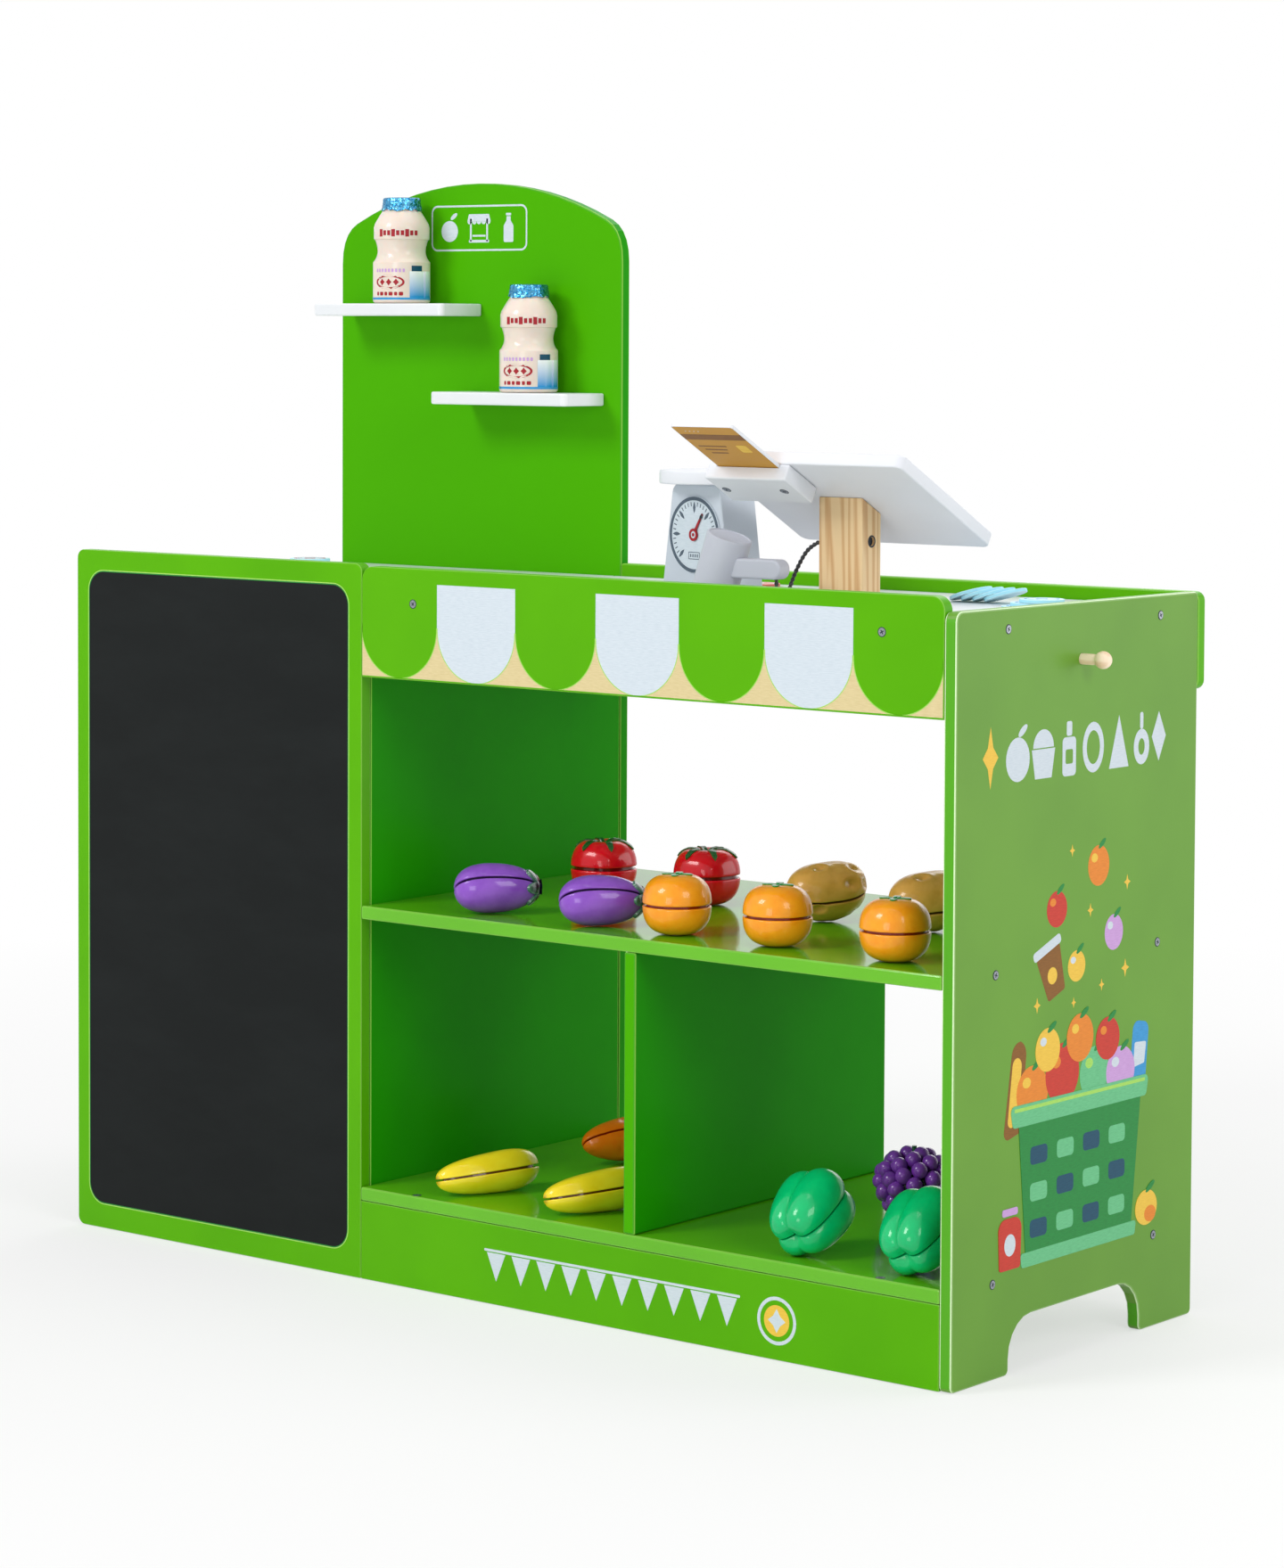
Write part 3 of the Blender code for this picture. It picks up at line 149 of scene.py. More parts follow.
def add_node(
    tree: Tree, kind: str, settings: dict | None = None, links: dict | None = None,
) -> bpy.types.NodeOutputs:
    """Add a node with its settings and links.

    Args:
        tree: the node tree that takes the node.
        kind: Blender's name of the node type, after "ShaderNode".
        settings: values by socket name or number, or by the node's own property.
        links: the sockets that feed this node, by socket name or number.

    Returns:
        The new node's outputs.
    """
    node = tree.nodes.new("ShaderNode" + kind)
    for key, value in (settings or {}).items():
        if isinstance(key, int) or key in node.inputs:
            node.inputs[key].default_value = value
        else:
            setattr(node, key, value)
    for key, source in (links or {}).items():
        tree.links.new(source, node.inputs[key])
    return node.outputs


def seen_directly(tree: Tree) -> Socket:
    """One for camera, glossy and transmission rays, and none for the light on the toy.

    Args:
        tree: the node tree that takes the nodes.

    Returns:
        The value's socket.
    """
    path = add_node(tree, "LightPath")
    seen = path["Is Camera Ray"]
    for ray in ("Is Glossy Ray", "Is Transmission Ray"):
        seen = add_node(tree, "Math", {"operation": "MAXIMUM"}, {0: seen, 1: path[ray]})[0]
    return seen


MADE: dict[str, bpy.types.Material] = {}


@dataclass(frozen=True)
class Finish:
    """A surface of the toy in two colours, whose material is made on first use."""

    name: str
    colour: str
    second: str

    def material(self) -> bpy.types.Material:
        """Make the finish's material, once.

        Returns:
            The material.
        """
        if self.name not in MADE:
            made = bpy.data.materials.new(self.name)
            made.use_nodes = True
            MADE[self.name] = made
            self.paint(made.node_tree, made.node_tree.nodes["Principled BSDF"])
        return MADE[self.name]

    def paint(self, tree: Tree, shader: Node) -> None:
        """Build the nodes of the finish."""
        raise NotImplementedError

    def spread(
        self, tree: Tree, shader: Node, pattern: Socket, low: float, high: float,
        most: float = 1.0,
    ) -> Socket:
        """Spread the two colours over a pattern.

        Args:
            tree: the material's nodes.
            shader: its shader.
            pattern: the pattern's value.
            low: the value up to which the first colour stays alone.
            high: the value from which the second colour is at its most.
            most: how much of the second colour that is.

        Returns:
            The mixed colour.
        """
        ends = {"From Min": low, "From Max": high, "To Max": most}
        share = add_node(tree, "MapRange", ends, {"Value": pattern})["Result"]
        colours = {"data_type": "RGBA", 6: linear(self.colour), 7: linear(self.second)}
        mixed = add_node(tree, "Mix", colours, {0: share})[2]
        tree.links.new(mixed, shader.inputs["Base Color"])
        return mixed

    def over(self, tree: Tree, shader: Node, base: Socket, colour: str, share: Socket) -> Socket:
        """Lay one more colour over the base colour.

        Args:
            tree: the material's nodes.
            shader: its shader.
            base: the colour so far.
            colour: the colour on top.
            share: how much of it shows.

        Returns:
            The mixed colour.
        """
        top = {"data_type": "RGBA", 7: linear(colour)}
        laid = add_node(tree, "Mix", top, {0: share, 6: base})[2]
        tree.links.new(laid, shader.inputs["Base Color"])
        return laid

    def mottled(self, tree: Tree, shader: Node, patch_mm: float) -> tuple[Socket, Socket]:
        """Vary the colour in soft patches.

        Args:
            tree: the material's nodes.
            shader: its shader.
            patch_mm: how wide a patch is.

        Returns:
            The object's own place, and the mixed colour.
        """
        place = add_node(tree, "TexCoord")["Object"]
        size = {"Scale": per(patch_mm), "Detail": 3.0}
        patches = add_node(tree, "TexNoise", size, {"Vector": place})["Fac"]
        return place, self.spread(tree, shader, patches, 0.38, 0.68)

    def relief(self, tree: Tree, shader: Node, height: Socket, depth_mm: float) -> None:
        """Raise the surface by a height pattern of a real depth."""
        bump = add_node(tree, "Bump", {"Distance": depth_mm / 1000.0}, {"Height": height})
        tree.links.new(bump["Normal"], shader.inputs["Normal"])

    def surface(self, shader: Node, **values: float) -> None:
        """Set the shader's values. An underscore in a name stands for a space."""
        for key, value in values.items():
            shader.inputs[key.replace("_", " ")].default_value = value


@dataclass(frozen=True)
class SprayedBoard(Finish):
    """MDF board sprayed with lacquer.

    The film is even and glossy with a faint orange peel. The paler line round each board's
    eased edges is a painted highlight, and faces that face front or back can take painted light.
    """

    # The colour of the painted highlight on the eased edges
    edge: str | None = None
    roughness: float = 0.34
    peel_mm: float = 2.2
    shine: float = 0.22
    # A lighter colour, painted light, for faces that face front or back
    front: str | None = None
    # Which axis the faces whose edges take the painted highlight lie across: 0 for X, 1 for Y
    thin: int = 1

    def paint(self, tree: Tree, shader: Node) -> None:
        """Cloudy colour, painted edge highlights and painted front light, orange peel.

        Args:
            tree: the material's nodes.
            shader: its shader.
        """
        place, mixed = self.mottled(tree, shader, 160.0)
        if self.edge:
            self.paint_edge_highlights(tree, shader, mixed)
        size = {"Scale": per(self.peel_mm), "Detail": 1.0}
        peel = add_node(tree, "TexNoise", size, {"Vector": place})
        self.relief(tree, shader, peel["Fac"], 0.03)
        self.surface(shader, Roughness=self.roughness, Specular_IOR_Level=self.shine)

    def paint_edge_highlights(self, tree: Tree, shader: Node, mixed: Socket) -> None:
        """Paint highlights on the eased edges, and painted light on faces that face front or back.

        Args:
            tree: the material's nodes.
            shader: its shader.
            mixed: the colour so far.
        """
        flat = add_node(tree, "NewGeometry")["True Normal"]
        size = add_node(tree, "VectorMath", {"operation": "ABSOLUTE"}, {0: flat})[0]
        parts = add_node(tree, "SeparateXYZ", {}, {0: size})
        across = parts[self.thin]
        square = add_node(tree, "Math", {"operation": "POWER", 1: 2.0}, {0: across})[0]
        between = add_node(tree, "Math", {"operation": "SUBTRACT"}, {0: across, 1: square})[0]
        # Painted highlight: the faces of the eased edges, between flat ones, take the edge colour
        ends = {"From Min": 0.05, "From Max": 0.14}
        edge_highlight = add_node(tree, "MapRange", ends, {"Value": between})["Result"]
        # Painted light: faces that face front or back take the lighter front colour
        if self.front:
            ends = {"From Min": 0.93, "From Max": 0.97}
            facing = add_node(tree, "MapRange", ends, {"Value": parts[1]})["Result"]
            mixed = self.over(tree, shader, mixed, self.front, facing)
        self.over(tree, shader, mixed, self.edge, edge_highlight)


@dataclass(frozen=True)
class ScreenInk(Finish):
    """Screen-printed ink. Its thin even film shows slight brushed streaks and a soft gloss."""

    def paint(self, tree: Tree, shader: Node) -> None:
        """Streaks 0.8 mm wide along the board, drawn as wide as they need to show.

        Args:
            tree: the material's nodes.
            shader: its shader.
        """
        place = add_node(tree, "TexCoord")["Object"]
        long = add_node(tree, "Mapping", {"Scale": (0.12, 0.12, 1.0)}, {0: place})[0]
        size = {"Scale": per(0.8), "Detail": 2.0}
        streaks = add_node(tree, "TexNoise", size, {"Vector": long})["Fac"]
        self.spread(tree, shader, streaks, 0.35, 0.75)
        self.relief(tree, shader, streaks, 0.01)
        self.surface(shader, Roughness=0.42, Specular_IOR_Level=0.25)


@dataclass(frozen=True)
class BoardPaint(Finish):
    """Blackboard paint, rolled. A matt charcoal with grit, and chalk dust wiped into it."""

    def paint(self, tree: Tree, shader: Node) -> None:
        """Wiped dust in long soft strokes over fine grit.

        Args:
            tree: the material's nodes.
            shader: its shader.
        """
        place = add_node(tree, "TexCoord")["Object"]
        stroke = {"Rotation": (0.0, math.radians(35), 0.0), "Scale": (0.35, 1.0, 1.0)}
        lean = add_node(tree, "Mapping", stroke, {0: place})[0]
        size = {"Scale": per(60.0), "Detail": 6.0, "Roughness": 0.65}
        wiped = add_node(tree, "TexNoise", size, {"Vector": lean})["Fac"]
        self.spread(tree, shader, wiped, 0.42, 0.85, 0.55)
        grit = add_node(tree, "TexNoise", {"Scale": per(0.6)}, {"Vector": place})
        self.relief(tree, shader, grit["Fac"], 0.06)
        self.surface(shader, Roughness=0.6, Specular_IOR_Level=0.1)


@dataclass(frozen=True)
class PlanedWood(Finish):
    """Solid wood, planed and clear-lacquered. Growth rings run along it as warm bands."""

    along: Place
    ring_mm: float

    def paint(self, tree: Tree, shader: Node) -> None:
        """Wavy rings, and fibres 0.9 mm wide drawn long along the grain.

        Args:
            tree: the material's nodes.
            shader: its shader.
        """
        place = add_node(tree, "TexCoord")["Object"]
        long = add_node(tree, "Mapping", {"Scale": self.along}, {0: place})[0]
        bands = {
            "Scale": per(self.ring_mm) / 6.28, "Distortion": 7.0, "Detail": 2.0,
            "Detail Scale": 1.2, "bands_direction": "DIAGONAL",
        }
        rings = add_node(tree, "TexWave", bands, {"Vector": long})["Fac"]
        size = {"Scale": per(0.9), "Detail": 3.0}
        fibres = add_node(tree, "TexNoise", size, {"Vector": long})["Fac"]
        add = {"operation": "MULTIPLY_ADD", 1: 0.35}
        both = add_node(tree, "Math", add, {0: fibres, 2: rings})[0]
        self.spread(tree, shader, both, 0.55, 1.5)
        self.relief(tree, shader, fibres, 0.05)
        self.surface(shader, Roughness=0.5)


@dataclass(frozen=True)
class MouldedPlastic(Finish):
    """Blow-moulded soft PVC, glossy all over, with a second colour laid over it by a value.

    The mesh's own value, from 0 to 1, lays painted shade in the groove between a food's halves, and
    the real tint of a banana's ends and of leaf tips.
    """

    # The colour of the painted groove shade, and of tinted ends and tips
    shade_and_tint: str
    patch_mm: float = 14.0
    roughness: float = 0.24
    skin_mm: float = 3.0
    skin_depth_mm: float = 0.02
    inner_glow: float = 0.0

    def paint(self, tree: Tree, shader: Node) -> None:
        """Mottled colour, the tint over it, and the moulded skin.

        Args:
            tree: the material's nodes.
            shader: its shader.
        """
        place, mixed = self.mottled(tree, shader, self.patch_mm)
        # Painted shade in the groove between halves, and the tint of ends and tips, by the mesh's
        # value
        shade = add_node(tree, "Attribute", {"attribute_name": "shade_and_tint"})["Fac"]
        self.over(tree, shader, mixed, self.shade_and_tint, shade)
        size = {"Scale": per(self.skin_mm), "Detail": 1.0}
        skin = add_node(tree, "TexNoise", size, {"Vector": place})
        self.relief(tree, shader, skin["Fac"], self.skin_depth_mm)
        self.surface(
            shader, Roughness=self.roughness, Specular_IOR_Level=0.2, Coat_Weight=0.42,
            Coat_Roughness=0.05,
        )
        if self.inner_glow:
            self.surface(shader, Subsurface_Weight=self.inner_glow, Subsurface_Scale=0.004)


@dataclass(frozen=True)
class CrinkledFoil(Finish):
    """Lacquered aluminium foil, pressed round the neck. Its creases flash white and deep blue."""

    def paint(self, tree: Tree, shader: Node) -> None:
        """Blue lacquer with paler patches 2.5 mm wide, and creases 3 mm apart.

        Args:
            tree: the material's nodes.
            shader: its shader.
        """
        place, _ = self.mottled(tree, shader, 2.5)
        size = {"Scale": per(3.0), "feature": "F1"}
        creases = add_node(tree, "TexVoronoi", size, {"Vector": place})
        self.relief(tree, shader, creases["Distance"], 0.6)
        self.surface(shader, Metallic=0.85, Roughness=0.22)


@dataclass(frozen=True)
class PlatedSteel(Finish):
    """Zinc-plated screw steel. Bright and cool, with a fine turned grain."""

    def paint(self, tree: Tree, shader: Node) -> None:
        """Bright metal with dull flecks 0.6 mm wide."""
        self.mottled(tree, shader, 0.6)
        self.surface(shader, Metallic=0.9, Roughness=0.3)


@dataclass(frozen=True)
class TwistedCord(Finish):
    """Polyester cord, twisted from two yarns. Near-black with a dull fibre sheen."""

    def paint(self, tree: Tree, shader: Node) -> None:
        """Fine fibres, drawn 0.4 mm wide.

        Args:
            tree: the material's nodes.
            shader: its shader.
        """
        place, _ = self.mottled(tree, shader, 0.5)
        fibres = add_node(tree, "TexNoise", {"Scale": per(0.4)}, {"Vector": place})
        self.relief(tree, shader, fibres["Fac"], 0.1)
        self.surface(shader, Roughness=0.6, Sheen_Weight=0.3)


@dataclass(frozen=True)
class FadedLabel(Finish):
    """Shrink-film label, printed from blue at its foot to white at its top."""

    foot: float
    head: float

    def paint(self, tree: Tree, shader: Node) -> None:
        """A smooth fade with height, and the film's gloss.

        Args:
            tree: the material's nodes.
            shader: its shader.
        """
        place = add_node(tree, "TexCoord")["Object"]
        height = add_node(tree, "SeparateXYZ", {}, {0: place})[2]
        self.spread(tree, shader, height, self.foot, self.head)
        self.surface(shader, Roughness=0.25)


@dataclass(frozen=True)
class StudioCard(Finish):
    """Matt studio card. The camera and reflections see it nearly white, and it keeps shadows."""

    def paint(self, tree: Tree, shader: Node) -> None:
        """A shaded card, lifted to white for camera, glossy and transmission rays.

        Args:
            tree: the material's nodes.
            shader: its shader.
        """
        place = add_node(tree, "TexCoord")["Object"]
        grain = add_node(tree, "TexNoise", {"Scale": per(4.0)}, {"Vector": place})
        self.relief(tree, shader, grain["Fac"], 0.02)
        self.surface(shader, Base_Color=linear(self.colour), Roughness=0.9)
        glow = {"Color": linear(self.second), "Strength": 1.0}
        white = add_node(tree, "Emission", glow)[0]
        away = add_node(tree, "VectorMath", {"operation": "LENGTH"}, {0: place})["Value"]
        ends = {"From Min": 0.7, "From Max": 2.2, "To Min": 0.6, "To Max": 1.0}
        far = add_node(tree, "MapRange", ends, {"Value": away})["Result"]
        both = {0: seen_directly(tree), 1: far}
        share = add_node(tree, "Math", {"operation": "MULTIPLY"}, both)[0]
        mixed = add_node(tree, "MixShader", {}, {0: share, 1: shader.outputs[0], 2: white})[0]
        tree.links.new(mixed, tree.nodes["Material Output"].inputs["Surface"])


# A lacquer's fourth colour, where given, is its painted highlight on the eased edges
GREEN_LACQUER = SprayedBoard(
    "green_lacquered_mdf", "#5AB000", "#54A800", "#8CC850", 0.32, shine=0.11,
)
# The same green paint, darkened as painted shade for the boards inside the bays; faces that face
# front or back take painted light
SHADED_INNER_LACQUER = SprayedBoard(
    "green_lacquered_mdf_painted_shade", "#229C00", "#1E9400", "#8CC850", 0.32, shine=0.05,
    front="#4AAC02",
)
SHELF_LACQUER = SprayedBoard(
    "glossy_green_lacquered_mdf", "#66BC12", "#60B40E", "#8CC850", 0.10, 3.5, 0.45,
)
# The side panel's paler, duller green is painted sheen, its near-white edge line a painted
# highlight, and its front edge takes painted light
SIDE_LACQUER_PAINTED_SHEEN = SprayedBoard(
    "satin_green_mdf_painted_sheen", "#669C28", "#5F9424", "#D6F0BC", 0.42, shine=0.36,
    front="#4EA400", thin=0,
)
WHITE_LACQUER = SprayedBoard("white_lacquered_mdf", "#E6E9EC", "#E0E3E7", "#F2F4F6")
WHITE_SATIN = SprayedBoard("white_lacquered_wood", "#E8EAF0", "#E2E4EB", roughness=0.42)
GREY_LACQUER = SprayedBoard("grey_lacquered_wood", "#CAD2DC", "#C3CBD5")
SCANNER_GREY = SprayedBoard("pale_grey_lacquered_wood", "#C3C6D2", "#BBBECB", roughness=0.42)
COIN_BLUE = SprayedBoard("pale_blue_lacquered_wood", "#D2F5FE", "#C6F0FC", roughness=0.4)
COIN_BLUE_EDGE = SprayedBoard("deep_blue_lacquered_wood", "#B2ECFC", "#A4E4F8", roughness=0.4)
COIN_CORAL = SprayedBoard("coral_lacquered_wood", "#E8938C", "#DF857E", roughness=0.4)
COIN_CORAL_EDGE = SprayedBoard("deep_coral_lacquered_wood", "#D06E68", "#C66660", roughness=0.4)
CHALK_PAINT = BoardPaint("blackboard_paint", "#171A1A", "#222626")
PINE = PlanedWood("planed_pine", "#E9C999", "#C68F56", (1.0, 1.0, 0.03), 2.3)
BEECH = PlanedWood("turned_beech", "#FEE8CA", "#E2B990", (0.1, 1.0, 1.0), 4.0)
INK_WHITE = ScreenInk("white_ink", "#D2DCE4", "#C6D2DB")
INK_TAN = ScreenInk("tan_ink", "#DCCB9A", "#D2C08C")
INK_LIME = ScreenInk("pale_lime_ink", "#A9DB66", "#9BD058")
INK_YELLOW = ScreenInk("yellow_ink", "#F0C64A", "#E6BA40")
INK_ORANGE = ScreenInk("orange_ink", "#E88A2C", "#DB7E26")
INK_RED = ScreenInk("red_ink", "#CC3B2C", "#BD3326")
INK_DEEP_GREEN = ScreenInk("deep_green_ink", "#1E8A3C", "#1A7C35")
INK_MINT = ScreenInk("mint_ink", "#6CC28A", "#60B57E")
INK_BLUE = ScreenInk("blue_ink", "#3C9BD6", "#348DC6")
INK_NAVY = ScreenInk("navy_ink", "#0F4C66", "#0C425A")
INK_LILAC = ScreenInk("lilac_ink", "#CDA2DA", "#C296D0")
INK_BROWN = ScreenInk("brown_ink", "#8A5A1E", "#7C5018")
INK_SLATE = ScreenInk("slate_ink", "#566472", "#4C5966")
INK_DARK = ScreenInk("charcoal_ink", "#26303A", "#202931")
INK_CRIMSON = ScreenInk("crimson_ink", "#A8202C", "#961A25")
CARD_OCHRE = SprayedBoard("ochre_lacquered_wood", "#C9922F", "#BE8728", roughness=0.4)
SCREW_STEEL = PlatedSteel("zinc_plated_steel", "#A9AEB5", "#70767E")
ROPE_BLACK = TwistedCord("black_polyester_cord", "#1C1D20", "#3A3B40")
FOIL = CrinkledFoil("blue_foil", "#1478AE", "#6FB4D2")
BOTTLE_MILK = MouldedPlastic(
    "milky_blown_plastic", "#EADCCF", "#E4D3C6", "#D8BEB6", 30.0, 0.3, 5.0, 0.01, 0.35,
)
LABEL_FADE = FadedLabel("blue_fade_label", "#0F8FD2", "#F2F6F8", 0.006, 0.030)
# A plastic's third colour is its painted groove shade; for bananas it also browns the ends, for
# leaves it tints the tips
EGGPLANT_SKIN = MouldedPlastic("purple_moulded_plastic", "#9055C8", "#8448BC", "#2A1240")
TOMATO_SKIN = MouldedPlastic("red_moulded_plastic", "#FA0A26", "#EC0620", "#7A020A")
ORANGE_SKIN = MouldedPlastic(
    "orange_peel_plastic", "#FFA41C", "#FC9812", "#9A2806", 9.0, 0.3, 1.6, 0.12,
)
POTATO_SKIN = MouldedPlastic(
    "tan_moulded_plastic", "#EAAE54", "#DA9E44", "#5C3E14", 12.0, 0.34, 2.4, 0.05,
)
BANANA_SKIN = MouldedPlastic("yellow_moulded_plastic", "#FCE22C", "#F8D81C", "#6A3A0A")
CARROT_SKIN = MouldedPlastic("carrot_moulded_plastic", "#FF8018", "#FF7210", "#9E1404")
PEPPER_SKIN = MouldedPlastic("green_moulded_plastic", "#02C274", "#02B46A", "#045028")
GRAPE_SKIN = MouldedPlastic("grape_moulded_plastic", "#8240B2", "#7234A2", "#1A082C")
SPRIG_GREEN = MouldedPlastic("sprig_moulded_plastic", "#1E9C4C", "#188C42", "#5FB45C")
LEAF_GREEN = MouldedPlastic("leaf_moulded_plastic", "#0E5A2C", "#0B4E26", "#5FA04C")
STALK_DARK = MouldedPlastic("dark_stalk_plastic", "#161230", "#100C26", "#5E9478")
STUDIO_CARD = StudioCard("studio_card", "#F1F1F1", "#FFFFFF")


def arc(centre: Point, radius: float, start: float, end: float, steps: int) -> list[Point]:
    """Points along an arc, both ends included.

    Args:
        centre: the arc's centre.
        radius: its radius.
        start: its first angle, in degrees.
        end: its last angle, in degrees.
        steps: how many straight parts it has.

    Returns:
        The points.
    """
    found = []
    for i in range(steps + 1):
        angle = math.radians(start + (end - start) * i / steps)
        found.append((centre[0] + radius * math.cos(angle), centre[1] + radius * math.sin(angle)))
    return found


def rounded(corners: Sequence[Place], steps: int = 8) -> Outline:
    """Replace each corner of a closed outline by its tangent arc.

    Args:
        corners: each corner's x and y, and its arc's radius.
        steps: how many straight parts an arc has.

    Returns:
        The outline.
    """
    points: list[Point] = []
    for i, (x, y, radius) in enumerate(corners):
        if radius <= 0:
            points.append((x, y))
            continue
        here = Vector((x, y))
        before = (Vector(corners[i - 1][:2]) - here).normalized()
        after = (Vector(corners[(i + 1) % len(corners)][:2]) - here).normalized()
        half = before.angle(after) / 2
        centre = here + (before + after).normalized() * (radius / math.sin(half))
        start = here + before * (radius / math.tan(half)) - centre
        end = here + after * (radius / math.tan(half)) - centre
        first = math.degrees(math.atan2(start.y, start.x))
        sweep = (math.degrees(math.atan2(end.y, end.x)) - first + 180) % 360 - 180
        points += arc((centre.x, centre.y), radius, first, first + sweep, steps)
    return points


def rectangle(
    x: float, y: float, width: float, height: float, corner: float = 0.0, steps: int = 6,
) -> Outline:
    """A rectangle about its centre, its corners rounded.

    Args:
        x: its middle across.
        y: its middle up.
        width: its width.
        height: its height.
        corner: the radius of its corners.
        steps: how many straight parts a corner has.

    Returns:
        The outline.
    """
    left, right, low, high = x - width / 2, x + width / 2, y - height / 2, y + height / 2
    corners = [(left, low, corner), (right, low, corner), (right, high, corner)]
    return rounded(corners + [(left, high, corner)], steps)


def around(steps: int) -> list[float]:
    """The angles of one full turn."""
    return [math.tau * i / steps for i in range(steps)]


def ellipse(
    x: float, y: float, width: float, height: float | None = None, steps: int = 28,
) -> Outline:
    """An ellipse about its centre, or a circle without a height."""
    tall = width if height is None else height
    return [(x + width / 2 * math.cos(a), y + tall / 2 * math.sin(a)) for a in around(steps)]


def diamond(x: float, y: float, width: float, height: float, waist: float = 0.28) -> Outline:
    """A four-pointed sparkle about its centre.

    Args:
        x: its middle across.
        y: its middle up.
        width: its width.
        height: its height.
        waist: how far out the inner corners lie, as a share.

    Returns:
        The outline.
    """
    half, tall = width / 2, height / 2
    thin, low = half * waist, tall * waist
    return [
        (x, y + tall), (x - thin, y + low), (x - half, y), (x - thin, y - low), (x, y - tall),
        (x + thin, y - low), (x + half, y), (x + thin, y + low),
    ]


def moved(outline: Outline, x: float, y: float, degrees: float = 0.0) -> Outline:
    """Turn an outline about its own origin, and move it."""
    c, s = math.cos(math.radians(degrees)), math.sin(math.radians(degrees))
    return [(x + px * c - py * s, y + px * s + py * c) for px, py in outline]


def curve_mesh(curve: bpy.types.Curve) -> Mesh:
    """Turn a curve into a mesh.

    Args:
        curve: the curve, which is used up.

    Returns:
        The mesh.
    """
    holder = bpy.data.objects.new(curve.name, curve)
    show(holder)
    seen = holder.evaluated_get(bpy.context.evaluated_depsgraph_get())
    mesh = bpy.data.meshes.new_from_object(seen)
    bpy.data.objects.remove(holder, do_unlink=True)
    bpy.data.curves.remove(curve)
    return mesh


def plate_mesh(name: str, outlines: Sequence[Outline], low: float, high: float) -> Mesh:
    """Make the closed mesh of a filled outline between two heights.

    Args:
        name: the mesh's name.
        outlines: the outer outline, then any holes in it.
        low: the height of the underside.
        high: the height of the top side.

    Returns:
        The mesh.
    """
    curve = bpy.data.curves.new(name, "CURVE")
    curve.dimensions = "2D"
    curve.fill_mode = "BOTH"
    curve.extrude = (high - low) / 2
    for outline in outlines:
        line = curve.splines.new("POLY")
        line.points.add(len(outline) - 1)
        for point, (x, y) in zip(line.points, outline):
            point.co = (x, y, 0.0, 1.0)
        line.use_cyclic_u = True
    mesh = curve_mesh(curve)
    shape = bmesh.new()
    shape.from_mesh(mesh)
    bmesh.ops.remove_doubles(shape, verts=shape.verts, dist=WELD)
    bmesh.ops.dissolve_limit(
        shape, angle_limit=FLAT, verts=shape.verts, edges=shape.edges,
    )
    bmesh.ops.translate(shape, vec=(0, 0, (low + high) / 2), verts=shape.verts)
    shape.to_mesh(mesh)
    shape.free()
    return mesh


